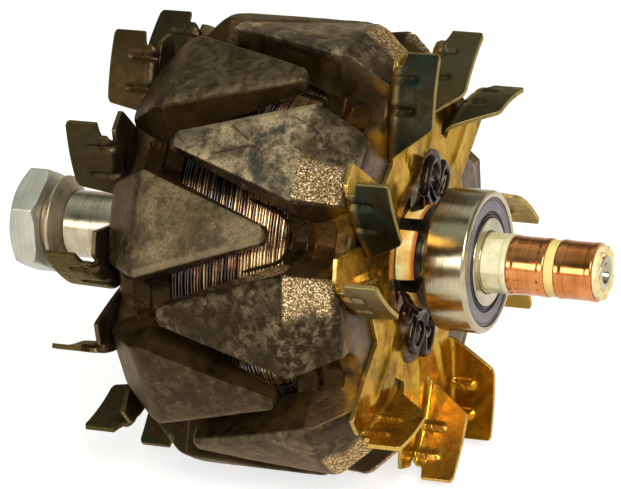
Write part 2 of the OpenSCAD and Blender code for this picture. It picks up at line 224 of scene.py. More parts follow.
# %% Blends and unevenness
def smooth_step(value, low, high):
    """0 below low, 1 above high and 3s^2 - 2s^3 between them."""
    s = np.clip((value - low) / (high - low), 0, 1)
    return s * s * (3 - 2 * s)


def smooth_min(a, b, width):
    """The smaller of two values, blended over a width where they cross: with h from 0 to 1 across
    the width it is b(1-h) + ah - width h(1-h)."""
    h = np.clip(0.5 + 0.5 * (b - a) / width, 0, 1)
    return b * (1 - h) + a * h - width * h * (1 - h)


def lumps(points, size, seed, waves=14):
    """Smooth unevenness of about -1 to 1: the sum of sine waves in random directions, with
    wavelengths near a size in millimetres, over the square root of their number."""
    rng = np.random.default_rng(seed)
    direction = rng.normal(size=(waves, 3))
    direction /= np.linalg.norm(direction, axis=1, keepdims=True)
    wavelength = size * MM * rng.uniform(0.7, 1.4, waves)
    phase = rng.uniform(0, 2 * np.pi, waves)
    waves_at = points @ (direction * (2 * np.pi / wavelength)[:, None]).T + phase
    return np.sin(waves_at).sum(-1) / np.sqrt(waves)


# %% From arrays to an object
SAME_POINT = 1e-7
BEVEL_ABOVE = 50


def new_mesh(name, shape, masks, crease):
    """A mesh from points and quads. Points that coincide are merged, faces are turned outwards, edges
    sharper than the crease angle stay sharp, and masks become point attributes."""
    points, quads = shape
    mesh = bpy.data.meshes.new(name)
    mesh.vertices.add(len(points))
    mesh.vertices.foreach_set("co", points.astype(np.float32).ravel())
    mesh.loops.add(quads.size)
    mesh.loops.foreach_set("vertex_index", quads.astype(np.int32).ravel())
    mesh.polygons.add(len(quads))
    mesh.polygons.foreach_set("loop_start", np.arange(0, quads.size, 4, dtype=np.int32))
    mesh.update(calc_edges=True)
    for mask, values in masks.items():
        layer = mesh.attributes.new(mask, "FLOAT", "POINT")
        layer.data.foreach_set("value", np.asarray(values, np.float32).ravel())
    work = bmesh.new()
    work.from_mesh(mesh)
    bmesh.ops.remove_doubles(work, verts=work.verts, dist=SAME_POINT)
    bmesh.ops.recalc_face_normals(work, faces=work.faces)
    work.to_mesh(mesh)
    work.free()
    mesh.shade_smooth()
    mesh.set_sharp_from_angle(angle=math.radians(crease))
    print(f"{name}: {len(mesh.vertices)} points, {len(mesh.polygons)} faces")
    return mesh


def piece(name, shape, finish, body, stands_for, masks=None, bevel=0, crease=40):
    """An object of one finish that rides on a body and stands for a CAD node. Its flat faces keep flat
    normals, and a bevel in millimetres breaks its sharp edges."""
    mesh = new_mesh(name, shape, masks or {}, crease)
    mesh.materials.append(finish)
    made = bpy.data.objects.new(name, mesh)
    bpy.context.scene.collection.objects.link(made)
    if bevel:
        edge = made.modifiers.new("broken_edges", "BEVEL")
        edge.width = bevel * MM
        edge.segments = 2
        edge.limit_method = "ANGLE"
        edge.angle_limit = math.radians(BEVEL_ABOVE)
    even = made.modifiers.new("even_normals", "WEIGHTED_NORMAL")
    even.keep_sharp = True
    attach(made, body)
    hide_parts(stands_for)
    return made


# %% [markdown]
# ## Materials
#
# A material is a small graph of nodes. One function adds a node: its properties are set by name,
# and each input is given a number, a colour or another node. Colours are written as the hex values
# seen on a screen and turned to linear light once, here. A pattern's size is written in millimetres.


# %% Helpers for materials
def linear(hex_colour):
    """A colour as four linear numbers from an sRGB hex value: each channel c becomes c/12.92 below
    0.04045 and ((c + 0.055)/1.055)^2.4 above it."""
    channels = [int(hex_colour[i:i + 2], 16) / 255 for i in (1, 3, 5)]
    light = [c / 12.92 if c <= 0.04045 else ((c + 0.055) / 1.055) ** 2.4 for c in channels]
    return (*light, 1.0)


def fill(tree, node, inputs):
    """Gives inputs of a node their values: a hex colour, a number, or a link from a socket or from
    the first output of another node. A name means the first input of that name that is in use."""
    for key, value in inputs.items():
        named = [s for s in node.inputs if s.enabled and s.name == key]
        socket = named[0] if named else node.inputs[key]
        if isinstance(value, bpy.types.Node):
            value = next(s for s in value.outputs if s.enabled)
        if isinstance(value, bpy.types.NodeSocket):
            tree.links.new(value, socket)
        else:
            socket.default_value = linear(value) if isinstance(value, str) else value


def add_node(tree, kind, inputs=None, stops=(), **properties):
    """Adds one node with its properties, its inputs and, on a colour ramp, its (place, colour) stops."""
    made = tree.nodes.new("ShaderNode" + kind)
    for name, value in properties.items():
        setattr(made, name, value)
    for index, (place, colour) in enumerate(stops):
        ramp = made.color_ramp.elements
        stop = ramp[index] if index < len(ramp) else ramp.new(place)
        stop.position = place
        stop.color = linear(colour)
    fill(tree, made, inputs or {})
    return made


def start_finish(name, masks=(), **constants):
    """A new material with the sockets that are the same all over. Returns the material, its tree, its
    shader, the Object coordinates that its patterns read, and the masks that it reads from the mesh."""
    material = bpy.data.materials.new(name)
    material.use_nodes = True
    tree = material.node_tree
    shader = tree.nodes["Principled BSDF"]
    fill(tree, shader, {key.replace("_", " "): value for key, value in constants.items()})
    place = add_node(tree, "TexCoord").outputs["Object"]
    shares = {m: add_node(tree, "Attribute", attribute_name=m).outputs["Fac"] for m in masks}
    return material, tree, shader, place, shares


def per_metre(size_mm):
    """The scale that gives a texture features of a size in millimetres on Object coordinates."""
    return 1 / (size_mm * MM)


# A noise texture keeps mostly between these values
NOISE_SPAN = {"From Min": 0.3, "From Max": 0.7}

# %% [markdown]
# ### Forged pole steel
#
# The cores are forged from soft steel, dipped in brown varnish with the winding, and then ground
# round on the outside. So one material has several faces: the ground face of a claw is bare steel,
# dulled by oil and scratched, the shoulders are shot-blasted and glitter, and the sides and valleys
# keep their varnish, which is amber where it ran together. Masks on the mesh say which is which.
# The glitter is painted highlight on one side of each rear shoulder only, and a dark share on each
# claw is partly dirt and partly painted shade.


# %% Forged pole steel
STEEL_MASKS = ("ground", "shoulder", "chamfer", "amber", "grime_and_shade")


def ground_face(tree, place, masks, clouds, spots, cluster, tones, spotted, scarred):
    """The colour of a ground face: tarnished clouds in three tones, and over them in turn clustered oil
    spots, a fine grain, a few short straight scratches, the rubbed chamfer and a darkening that is
    partly dirt and partly painted shade."""
    patch = add_node(tree, "Mix", {"Factor": 0.4, "A": clouds, "B": spots})
    face = add_node(tree, "ValToRGB", {"Fac": patch}, zip((0.41, 0.48, 0.56), tones))
    both = add_node(tree, "Math", {0: cluster, 1: spots}, operation="ADD")
    stained = add_node(tree, "MapRange", {
        "Value": both, "From Min": 1.08 - spotted, "From Max": 1.24 - spotted, "To Max": 0.8})
    grain = add_node(tree, "TexNoise", {"Vector": place, "Scale": per_metre(0.5), "Detail": 3})
    grainy = add_node(tree, "MapRange", {
        "Value": grain, "From Min": 0.42, "From Max": 0.66, "To Max": 0.5})
    cells = add_node(tree, "TexVoronoi", {"Vector": place, "Scale": per_metre(13)},
                     feature="DISTANCE_TO_EDGE")
    line = add_node(tree, "MapRange", {
        "Value": cells, "From Min": 0.006, "From Max": 0.018, "To Min": scarred, "To Max": 0})
    some = add_node(tree, "MapRange", {"Value": cluster, "From Min": 0.5, "From Max": 0.56})
    scratched = add_node(tree, "Math", {0: line, 1: some}, operation="MULTIPLY")
    rubbed = add_node(tree, "Math", {0: masks["chamfer"], 1: spots}, operation="MULTIPLY")
    # Painted shade with some dirt: the last coat darkens the face by its mask
    patchy = add_node(tree, "MapRange", {
        "Value": spots, "From Min": 0.38, "From Max": 0.62, "To Min": 1.2, "To Max": 0.7})
    soiled_and_shaded = add_node(tree, "Math", {0: masks["grime_and_shade"], 1: patchy}, operation="MULTIPLY", use_clamp=True)
    for share, coat in ((stained, "#241f17"), (grainy, "#302819"), (scratched, "#25221b"),
                        (rubbed, "#86775a"), (soiled_and_shaded, "#21190c")):
        face = add_node(tree, "Mix", {"Factor": share, "A": face, "B": coat}, data_type="RGBA")
    return face


def forged_pole_steel(name, tones, spotted, scarred):
    """Forged low-carbon steel: the ground face is dull and cloudy with dark spots and a few scratches,
    the blasted shoulder's grains face all ways and carry painted glints, and the varnish is dark
    and wet."""
    material, tree, shader, place, masks = start_finish(
        name, STEEL_MASKS, Specular_IOR_Level=0.28, Specular_Tint="#ffd49a")
    clouds = add_node(tree, "TexNoise", {
        "Vector": place, "Scale": per_metre(10), "Detail": 8, "Roughness": 0.66, "Distortion": 0.5})
    spots = add_node(tree, "TexNoise", {
        "Vector": place, "Scale": per_metre(2.2), "Detail": 6, "Roughness": 0.66})
    cluster = add_node(tree, "TexNoise", {"Vector": place, "Scale": per_metre(9), "Detail": 2})
    face = ground_face(tree, place, masks, clouds, spots, cluster, tones, spotted, scarred)
    # Shoulder: each grain of the blasted skin has its own brightness, up to painted glints
    grains = add_node(tree, "TexVoronoi", {"Vector": place, "Scale": per_metre(0.3)})
    flake = add_node(tree, "SeparateColor", {"Color": grains.outputs["Color"]})
    blasted = add_node(tree, "ValToRGB", {"Fac": flake}, (
        (0.3, "#6a5333"), (0.7, "#b5935f"), (0.97, "#ffedc9")))
    # Varnish: nearly black where it is thin on steel, amber where it is thick
    colour = add_node(tree, "ValToRGB", {"Fac": clouds}, ((0.36, "#150e06"), (0.66, "#3a2a14")))
    thick = add_node(tree, "ValToRGB", {"Fac": clouds}, ((0.36, "#6b430a"), (0.66, "#b57d18")))
    pools = add_node(tree, "MapRange", {"Value": cluster, "From Min": 0.44, "From Max": 0.56})
    pooled = add_node(tree, "Math", {0: masks["amber"], 1: pools}, operation="MULTIPLY")
    for share, coat in ((pooled, thick), (masks["shoulder"], blasted), (masks["ground"], face)):
        colour = add_node(tree, "Mix", {"Factor": share, "A": colour, "B": coat}, data_type="RGBA")
    metal = 0.1
    for share, bare in ((masks["shoulder"], 0.8), (masks["ground"], 0.45)):
        metal = add_node(tree, "Mix", {"Factor": share, "A": metal, "B": bare})
    rough = add_node(tree, "MapRange", {"Value": spots, **NOISE_SPAN, "To Min": 0.2, "To Max": 0.4})
    dull = add_node(tree, "MapRange", {"Value": spots, **NOISE_SPAN, "To Min": 0.34, "To Max": 0.56})
    rough = add_node(tree, "Mix", {"Factor": masks["ground"], "A": rough, "B": dull})
    pits = add_node(tree, "Bump", {"Height": spots, "Distance": 0.14 * MM})
    blast = add_node(tree, "Math", {0: grains, 1: masks["shoulder"]}, operation="MULTIPLY")
    skin = add_node(tree, "Bump", {"Height": blast, "Distance": 0.2 * MM, "Normal": pits})
    fill(tree, shader, {"Base Color": colour, "Metallic": metal, "Roughness": rough, "Normal": skin})
    return material


front_steel = forged_pole_steel("forged_steel_front", ("#3a3327", "#564a34", "#78684c"), -0.02, 0.25)
rear_steel = forged_pole_steel("forged_steel_rear", ("#434339", "#766850", "#b3a07b"), 0.03, 0.7)
print("materials so far:", len(bpy.data.materials))

# %% [markdown]
# ## The pole cores
#
# A claw is a beam whose section shrinks towards its tip. It could be cut from a block, but a loft
# shows better how it was forged: at each station along the claw there is a rounded outline, wide
# and deep at the root, and small at the tip. The outer side follows the cylinder that the rotor
# was ground to, or the flat shoulder where that lies lower, with a soft ridge between them.

# %% Sizes of the claws
CLAWS = 8
CLAW_STEP = 360 / CLAWS
REAR_CLAW_ANGLE = 45
FRONT_CLAW_ANGLE = REAR_CLAW_ANGLE - CLAW_STEP / 2
SHOULDER_LENGTH = 11.5
SHOULDER_START = 0.5
SHOULDER_RADIUS = 46.5
ROOT_WIDTH = 26
FACE_WIDTH = 19
TIP_WIDTH = 4
TIP_THICKNESS = 5
DISC_THICKNESS = 14
DISC_RADIUS = 41
HUB_RADIUS = 23
CORE_BORE = 9
FOOT_RADIUS = DISC_RADIUS - 6
UNDER_RADIUS = 44
RIDGE_BLEND = 3
CHAMFER_WIDTH = 2.2
CHAMFER_DEPTH = 0.8
EDGE_WIDTH = 0.6
EDGE_DEPTH = 0.3
TIP_ROUND = 1.4
VALLEY_SWELL = 4.0
FORGED_DENT = 0.06
BLASTED_DENT = 0.1
# Darkening of the ground face, partly dirt and partly painted shade: on each shoulder, and per claw
SHOULDER_GRIME_AND_SHADE = 0.75
REAR_GRIME_AND_SHADE = (0.0, 0.3, 0.5, 0.4, 0.6, 0.5, 0.75, 0.9)
FRONT_GRIME_AND_SHADE = (0.05, 0.7, 0.5, 0.4, 0.6, 0.4, 0.5, 0.8)

rear_face, rear_tip, claw_radius = shaft_span("rear_pole_core")
_, front_face, _ = shaft_span("front_pole_core")
claw_length = rear_tip - rear_face
half_stack = (front_face - rear_face) / 2
print("stack, mm:", round(front_face - rear_face, 2), "claw length, mm:", round(claw_length, 2))


# %% Claws
def claw_half(depth):
    """Half the width of a claw at a depth from the face of its core: it widens along the shoulder and
    narrows from there to the tip."""
    return np.interp(depth, [0, SHOULDER_LENGTH, claw_length],
                     [FACE_WIDTH / 2, ROOT_WIDTH / 2, TIP_WIDTH / 2])


def claw_outline(stations, shoulder, soft, chamfer_side):
    """The rounded hexagon of a claw at each station, as (side, drop below the outer side), and how far
    the round of the tip draws it in. It is as wide as the claw is there, and one long edge has a wide
    chamfer on the side +1 or -1."""
    under = np.interp(
        stations,
        [0, DISC_THICKNESS - 2, DISC_THICKNESS, claw_length],
        [FOOT_RADIUS, FOOT_RADIUS, UNDER_RADIUS, claw_radius - TIP_THICKNESS],
    )
    into_tip = np.clip((stations - claw_length + TIP_ROUND) / TIP_ROUND, 0, 1)
    inset = TIP_ROUND * (1 - np.sqrt(1 - into_tip**2 * 0.96))
    half = np.maximum(claw_half(stations) - inset, 0.5)
    deep = np.maximum(np.minimum(claw_radius, shoulder) - under - inset, inset + 0.5)
    wide = np.minimum(CHAMFER_WIDTH, 0.4 * half) - half
    slim = half - np.minimum(EDGE_WIDTH, 0.3 * half)
    corner_side = np.stack([wide, slim, half, half, -half, -half], -1) * -chamfer_side
    corner_drop = np.stack([inset, inset, inset + EDGE_DEPTH, deep, deep, inset + CHAMFER_DEPTH], -1)
    corners = np.stack([corner_side, corner_drop], -1)
    return rounded(corners, np.full(6, 0.7 * soft), steps=5, fill=6), inset[:, None]


def claw_masks(place, depth, side, drop, chamfer_side, glint_side, amber, grime_and_shade):
    """Which skin each point of a claw has, from its depth, its side and its drop below the outer side:
    ground face, blasted shoulder with painted glints, rubbed chamfer, run varnish and a darkening
    that is partly dirt and partly painted shade, in that order. The painted glints cover the side +1
    or -1 of the shoulder up to a ragged edge, and 0 is for none."""
    chamfered = side * chamfer_side > 0
    edge = np.where(chamfered, CHAMFER_DEPTH, EDGE_DEPTH)
    outside = 1 - smooth_step(drop, edge, edge + 0.5)
    past_ridge = smooth_step(depth, SHOULDER_LENGTH - 0.9, SHOULDER_LENGTH + 0.3)
    rubbed = smooth_step(drop, 0.06, 0.25) * (1 - smooth_step(drop, 0.7, 0.9)) * past_ridge * chamfered
    ran = amber * (1 - outside) * (1 - smooth_step(depth, 2, 6))
    ragged = 0.1 * lumps(place.reshape(-1, 3), 6, 9).reshape(depth.shape)
    # Painted highlight: the blasted glints lie only on the chosen side of the shoulder
    bare = smooth_step(side * glint_side / claw_half(depth) + ragged, 0.05, 0.3)
    bare = bare * smooth_step(depth + 4 * ragged, 0.8, 2.4)
    painted_glint = outside * (1 - past_ridge) * bare
    # Painted shade with some dirt: the shoulder is darkened, and each claw by its own share
    dirt_and_shade = grime_and_shade + (1 - grime_and_shade) * SHOULDER_GRIME_AND_SHADE * (1 - past_ridge)
    return np.stack([outside - painted_glint, painted_glint, rubbed, ran, dirt_and_shade], -1)


def claw(angle, face, toward, soft, chamfer_side, glint_side, amber, grime_and_shade):
    """One claw with its masks. At depth d from the face of its core the outline's drop is subtracted
    from the outer radius, the smaller of the ground cylinder and the shoulder plane, which meet
    softly. The forging's dents lower the skin a little, and both ends are closed."""
    ridge = SHOULDER_LENGTH
    stations = np.concatenate([
        np.linspace(SHOULDER_START, ridge - RIDGE_BLEND, 12, endpoint=False),
        np.linspace(ridge - RIDGE_BLEND, ridge + RIDGE_BLEND, 14, endpoint=False),
        np.linspace(ridge + RIDGE_BLEND, claw_length - TIP_ROUND, 26, endpoint=False),
        claw_length - TIP_ROUND * (1 - np.sin(np.linspace(0, np.pi / 2, 7))),
    ])
    slope = (claw_radius - SHOULDER_RADIUS) / (ridge - SHOULDER_START)
    shoulder = SHOULDER_RADIUS + slope * (stations - SHOULDER_START)
    outline, inset = claw_outline(stations, shoulder, soft, chamfer_side)
    side, drop = outline[..., 0], outline[..., 1]
    radius = smooth_min(np.sqrt(claw_radius**2 - side**2), shoulder[:, None], soft) - drop
    depth = np.broadcast_to(stations[:, None], radius.shape)
    turn = math.radians(angle)
    place = np.stack([
        -(face + toward * depth),
        -(radius * math.cos(turn) - side * math.sin(turn)),
        radius * math.sin(turn) + side * math.cos(turn),
    ], -1) * MM
    masks = claw_masks(place, depth, side, drop - inset, chamfer_side, glint_side, amber, grime_and_shade)
    flat = place.reshape(-1, 3)
    dent = np.abs(lumps(flat, 7, 3)).reshape(radius.shape) * FORGED_DENT
    dent = dent + np.abs(lumps(flat, 1.7, 5)).reshape(radius.shape) * BLASTED_DENT * masks[..., 1]
    place[..., 1] += dent * math.cos(turn) * MM
    place[..., 2] -= dent * math.sin(turn) * MM
    caps = place[[0, -1]].mean(1, keepdims=True).repeat(place.shape[1], 1)
    place = np.concatenate([caps[:1], place, caps[1:]])
    masks = np.concatenate([masks[:1] * 0, masks, masks[-1:]])
    quads = grid_quads(place.shape[0], place.shape[1], close_cols=True)
    return (place.reshape(-1, 3), quads), masks.reshape(-1, len(STEEL_MASKS))


# %% Discs and whole cores
def core_disc(first_claw, face, toward, amber):
    """The disc and half hub of a core: a closed section of (depth, radius) carried round the shaft.
    The rim swells beside each claw, which leaves a round-bottomed valley between two."""
    angle = np.linspace(0, 360, 360, endpoint=False)
    off_claw = np.abs((angle - first_claw + CLAW_STEP / 2) % CLAW_STEP - CLAW_STEP / 2)
    swell = VALLEY_SWELL * smooth_step(CLAW_STEP / 2 - off_claw, 3, 12)
    section = rounded([
        [0.02, CORE_BORE], [0.02, DISC_RADIUS], [DISC_THICKNESS, DISC_RADIUS],
        [DISC_THICKNESS, HUB_RADIUS], [half_stack - 0.02, HUB_RADIUS], [half_stack - 0.02, CORE_BORE],
    ], np.array([0.3, 2.5, 0.8, 0.8, 0.3, 0.3]), steps=5, fill=4)
    share = smooth_step(section[:, 1], DISC_RADIUS - 8, DISC_RADIUS - 0.5)
    radius = section[:, 1] + share * swell[:, None]
    along = face + toward * section[:, 0]
    points = on_shaft(along, radius, angle[:, None]).reshape(-1, 3)
    rough = (lumps(points, 5, 11) * 0.18 + lumps(points, 1.8, 12) * 0.06).reshape(radius.shape)
    points = on_shaft(along, radius - np.abs(rough) * share, angle[:, None]).reshape(-1, 3)
    masks = np.zeros((*radius.shape, len(STEEL_MASKS)))
    masks[..., STEEL_MASKS.index("amber")] = amber * share * (1 - smooth_step(section[:, 0], 3, 8))
    return (points, grid_quads(len(angle), len(section), True, True)), masks.reshape(-1, len(STEEL_MASKS))


def pole_core(name, node, finish, first_claw, face, toward, soft, chamfer_side, glint_sides, amber, grime_and_shade):
    """A whole core: its disc and its claws, made as one piece. The sides of the painted glints go round
    in turn, and each claw has its own share of darkening, partly dirt and partly painted shade."""
    made = [core_disc(first_claw, face, toward, amber)]
    for i in range(CLAWS):
        glint_side = glint_sides[i % len(glint_sides)]
        made.append(claw(
            first_claw + i * CLAW_STEP, face, toward, soft, chamfer_side, glint_side, amber, grime_and_shade[i]))
    values = np.concatenate([m for _, m in made]).T
    masks = dict(zip(STEEL_MASKS, values))
    return piece(name, join([s for s, _ in made]), finish, "rotor", node, masks, crease=50)


# The rear claws take painted glints on alternate sides, and the front claws have none
pole_core("rear_core_forging", "rear_pole_core", rear_steel,
          REAR_CLAW_ANGLE, rear_face, 1, 1.2, 1, (-1, 1), 0.5, REAR_GRIME_AND_SHADE)
pole_core("front_core_forging", "front_pole_core", front_steel,
          FRONT_CLAW_ANGLE, front_face, -1, 2.2, -1, (0,), 0.0, FRONT_GRIME_AND_SHADE)

# %% [markdown]
# ## The field winding
#
# Enamelled copper wire is wound on a moulded spool and soaked in varnish. Only the outer layer
# shows. A helix of tubes would cost far too many faces for what shows, so the layer is one surface
# with a half round for each turn, and each turn lies a little higher or lower than its neighbours.


# %% Copper under brown varnish
def varnished_copper():
    """Enamelled copper wire soaked in varnish: dark in the grooves and on some turns, and bright
    copper on the round of each wire where the varnish is thin. The turns towards the rear end carry a
    painted highlight."""
    material, tree, shader, place, masks = start_finish(
        "varnished_copper_wire", ("crown", "tone"), Metallic=0.85, Coat_Weight=0.8, Coat_Roughness=0.08)
    soak = add_node(tree, "TexNoise", {"Vector": place, "Scale": per_metre(6), "Detail": 4})
    thin = add_node(tree, "Math", {0: soak, 1: masks["tone"]}, operation="ADD")
    wire = add_node(tree, "ValToRGB", {"Fac": thin}, (
        (0.42, "#2a2018"), (0.64, "#80562f"), (0.9, "#f2c98c")))
    colour = add_node(tree, "Mix", {"Factor": masks["crown"], "A": "#120a06", "B": wire},
                      data_type="RGBA")
    rough = add_node(tree, "MapRange", {"Value": soak, **NOISE_SPAN, "To Min": 0.12, "To Max": 0.24})
    fill(tree, shader, {"Base Color": colour, "Roughness": rough})
    return material


# %% Wound wire
wind_start, wind_end, wind_radius = shaft_span("field_winding")
WIRE_PITCH = 0.82
WIRE_RISE = 0.36
WIRE_LIFT = 0.2
WIRE_SWAY = 0.12
# The share of the way from the rear end over which the painted highlight on the turns fades out
HIGHLIT_TURNS = (0.25, 0.5)
SPOOL_RADIUS = wind_radius - 19


def wound_wire():
    """The outer layer of the coil, with the height of each point on its wire and the tone of its turn.
    Across a wire the radius follows a half round. Each turn has its own small lift, and sways along
    and across the shaft as a slow sine of the angle."""
    rng = np.random.default_rng(7)
    count = round((wind_end - wind_start) / WIRE_PITCH)
    angle = np.linspace(0, 360, 224, endpoint=False)
    across = np.linspace(-0.5, 0.5, 6)
    crown = np.sqrt(np.maximum(1 - (2 * across * 0.97) ** 2, 0))
    cycles, phase = rng.integers(2, 7, count), rng.uniform(0, 2 * np.pi, count)
    sway = np.sin(np.radians(angle)[:, None] * cycles + phase)[..., None]
    lift = rng.uniform(-WIRE_LIFT, 0.0, count)[:, None]
    pitch = (wind_end - wind_start) / count
    along = wind_start + (np.arange(count)[:, None] + 0.5 + across) * pitch
    inside = np.zeros((len(angle), count, 1)) + np.array([0, 1, 1, 1, 1, 0])
    along = (along + WIRE_SWAY * sway * inside).reshape(len(angle), -1)
    radius = wind_radius - WIRE_RISE + lift + WIRE_SWAY / 2 * (sway - 1) + WIRE_RISE * crown
    close = np.broadcast_to([wind_end, wind_start], (len(angle), 2))
    along = np.concatenate([along, close], 1)
    radius = np.concatenate([radius.reshape(len(angle), -1), 0 * close + SPOOL_RADIUS], 1)
    # Painted highlight: the turns near the rear end are lightened
    bright = 1 - smooth_step(np.arange(count) / count, *HIGHLIT_TURNS)
    tone = np.repeat(rng.uniform(-0.25, 0.2, count) + 0.4 * bright, len(across))
    masks = {"crown": np.append(np.tile(crown, count), [0, 0]), "tone": np.append(tone, [0, 0])}
    quads = grid_quads(*radius.shape, True, True)
    shape = on_shaft(along, radius, angle[:, None]).reshape(-1, 3), quads
    return shape, {name: np.tile(values, len(angle)) for name, values in masks.items()}


wire_shape, wire_masks = wound_wire()
piece("wound_wire", wire_shape, varnished_copper(), "rotor", "field_winding",
      wire_masks, crease=75)

# %% [markdown]
# ### The spool
#
# The spool is moulded plastic that the varnish has turned nearly black. At its rear end a tongue
# lines each valley between the claws to keep the wire off the steel, and a rolled rim runs round
# the window where the wire shows. A thin sheet follows the valley, and a tube follows the rim.


# %% Varnished plastic
def varnished_plastic(name, dark, light, thick, roughness, ripple_mm, gloss):
    """Moulded plastic under a coat of varnish: black and wet-looking, and amber where it is thick."""
    material, tree, shader, place, masks = start_finish(
        name, ("amber",), Coat_Weight=gloss, Coat_Roughness=0.06, Specular_IOR_Level=0.25,
        Specular_Tint="#ffca84")
    runs = add_node(tree, "TexNoise", {
        "Vector": place, "Scale": per_metre(3), "Detail": 4, "Roughness": 0.55, "Distortion": 0.5})
    colour = add_node(tree, "ValToRGB", {"Fac": runs}, ((0.36, dark), (0.68, light)))
    patchy = add_node(tree, "MapRange", {
        "Value": runs, "From Min": 0.36, "From Max": 0.6, "To Min": 0.25})
    pooled = add_node(tree, "Math", {0: masks["amber"], 1: patchy}, operation="MULTIPLY")
    colour = add_node(tree, "Mix", {"Factor": pooled, "A": colour, "B": thick}, data_type="RGBA")
    rough = add_node(tree, "MapRange", {
        "Value": runs, **NOISE_SPAN, "To Min": roughness, "To Max": roughness + 0.2})
    drips = add_node(tree, "Bump", {"Height": runs, "Distance": ripple_mm * MM})
    fill(tree, shader, {"Base Color": colour, "Roughness": rough, "Normal": drips})
    return material


spool_finish = varnished_plastic("varnished_moulding", "#0a0502", "#1c1004", "#8e560a", 0.2, 0.5, 0.0)
lead_finish = varnished_plastic("varnished_lead_sleeve", "#0e0806", "#2a1a10", "#5a3a18", 0.14, 0.3, 0.25)

# %% Spool with its liners
_, bobbin_end, flange_radius = shaft_span("coil_bobbin")
FLANGE_THICKNESS = 1.5
LINER_FLOOR = DISC_RADIUS + 0.5
LINER_REACH = (4.5, DISC_THICKNESS + FLANGE_THICKNESS + 0.1)
LINER_STEP = (9.2, 10.6)
LINER_CURL = 2.2
LINER_THICKNESS = 1
RIM_ROUND = 0.42
RIM_DEPTHS = (27, 21, 17.6, 16.0, 15.7)
RIM_SHARES = (1, 1, 0.97, 0.62, 0)
RIM_INSETS = (0.3, 0.3, 0.3, 0, 0)
LEAD_VALLEYS = (1, 5)
flange_start = rear_face + DISC_THICKNESS + 0.05


def valley_half(depth, radius):
    """Half the angle, in degrees, that is open between two claws at a depth and a radius."""
    return CLAW_STEP / 2 - np.degrees(np.arcsin(claw_half(depth) / radius))


def liner(valley, face, toward, amber):
    """The lining of a valley, with its amber mask. Its floor rises in a step towards the wire and
    curls up both claws with the square of the share across. The amber pair is for the part by the
    wire and for the rest."""
    depth = np.linspace(*LINER_REACH, 30)[:, None]
    share = np.linspace(-1, 1, 23)
    floor = LINER_FLOOR + (flange_radius - LINER_FLOOR) * smooth_step(depth, *LINER_STEP)
    radius = floor + LINER_CURL * share**2 - 0.4 + 0.12 * np.sin(share * 5 + valley)
    angle = valley + share * (valley_half(depth, flange_radius) + 0.7)
    along = face + toward * depth
    shape = slab(on_shaft(along, radius, angle), on_shaft(along, radius - LINER_THICKNESS, angle))
    away = 1 - smooth_step(depth, *LINER_STEP)
    tint = amber[0] + (amber[1] - amber[0]) * away * (1 - share**2)
    return shape, np.tile(tint.ravel(), 2)


def window_rim(valley, face, toward):
    """The rolled rim of a window: a tube along both claws that turns through two round corners and
    crosses the valley beside the wire."""
    depth = np.array(RIM_DEPTHS)
    arc = np.radians(valley_half(depth, flange_radius)) * flange_radius
    arc = arc * np.array(RIM_SHARES) - np.array(RIM_INSETS)
    depth = np.append(depth, depth[-2::-1])
    arc = np.append(arc, -arc[-2::-1])
    points = on_shaft(face + toward * depth, flange_radius - 0.1, valley + np.degrees(arc / flange_radius))
    up = on_shaft(0, 1, valley) / MM
    return tube(curve_through(points, 96), RIM_ROUND, up)


spool = turned([
    [flange_start, HUB_RADIUS + 0.05], [flange_start, flange_radius],
    [flange_start + FLANGE_THICKNESS, flange_radius], [flange_start + FLANGE_THICKNESS, SPOOL_RADIUS],
    [bobbin_end - FLANGE_THICKNESS, SPOOL_RADIUS], [bobbin_end - FLANGE_THICKNESS, flange_radius],
    [bobbin_end, flange_radius], [bobbin_end, HUB_RADIUS + 0.05],
], 0.4)
rear_valleys = [REAR_CLAW_ANGLE + (i + 0.5) * CLAW_STEP for i in range(CLAWS) if i not in LEAD_VALLEYS]
front_valleys = [FRONT_CLAW_ANGLE + (i + 0.5) * CLAW_STEP for i in range(CLAWS)]
liners = [liner(v, rear_face, 1, (0.0, 0.12)) for v in rear_valleys]
liners += [liner(v, front_face, -1, (0.0, 0.0)) for v in front_valleys]
rims = [window_rim(v, rear_face, 1) for v in rear_valleys]
spool_shapes = [spool] + rims + [shape for shape, _ in liners]
plain = sum(len(points) for points, _ in [spool] + rims)
amber = np.concatenate([np.zeros(plain)] + [mask for _, mask in liners])
piece("moulded_spool", join(spool_shapes), spool_finish, "rotor", "coil_bobbin",
      {"amber": amber})

# %% [markdown]
# ## The fans
#
# Each fan is one sheet of steel: a star is cut out, one edge of every arm is folded up into a
# blade, and short darts are pressed across the folds to stiffen them. The folded sheet is a grid
# of (radius, distance along the fold), and a thickness is given to it along its own normal.

# %% Sizes of the fans
SHEET = 1.1
FAN_RADIUS = 55
BLADE_ROOT = 31
BLADE_EDGE = 40.5
BLADE_SWEEP = 21
RELIEF = 2.0
RELIEF_HEIGHT = 3.6
RELIEF_RISE = 0.7
FOOT_NOTCH = 1.2
FOOT_NOTCH_HEIGHT = 1.5
FOOT_LAP = 0.3
FOOT_SLANT = 1.19
ARM_SPAN = 8
ARM_ROOT_SPAN = 12
FAN_HUB = 31
FAN_HOLE = 17
FOLD = 1.9
DART_PLACES = (43.8, 50.0)
DART_WIDTH = 0.62
DART_HEIGHT = 0.85
DART_BEGINS = (0.2, 1.6)
DART_ENDS = (7.0, 8.4)
OUTER_CORNER = 0.9
INNER_CORNER = 1.1
ARM_RIDGE = 0.8
RIDGE_TURN = 3
RIDGE_SPAN = 2.2
RIDGE_BEGINS = (24, 29)
RIDGE_ENDS = (41, 46)
HUB_DISH = 0.6
DISH_RADIUS = 21.5
DISH_WIDTH = 2.0
REAR_BLADES = (12.5, 37.5, 81.5, 112, 148.5, 189.5, 212.5, 255.5, 283.5, 324.5)
REAR_BLADE_START = 33
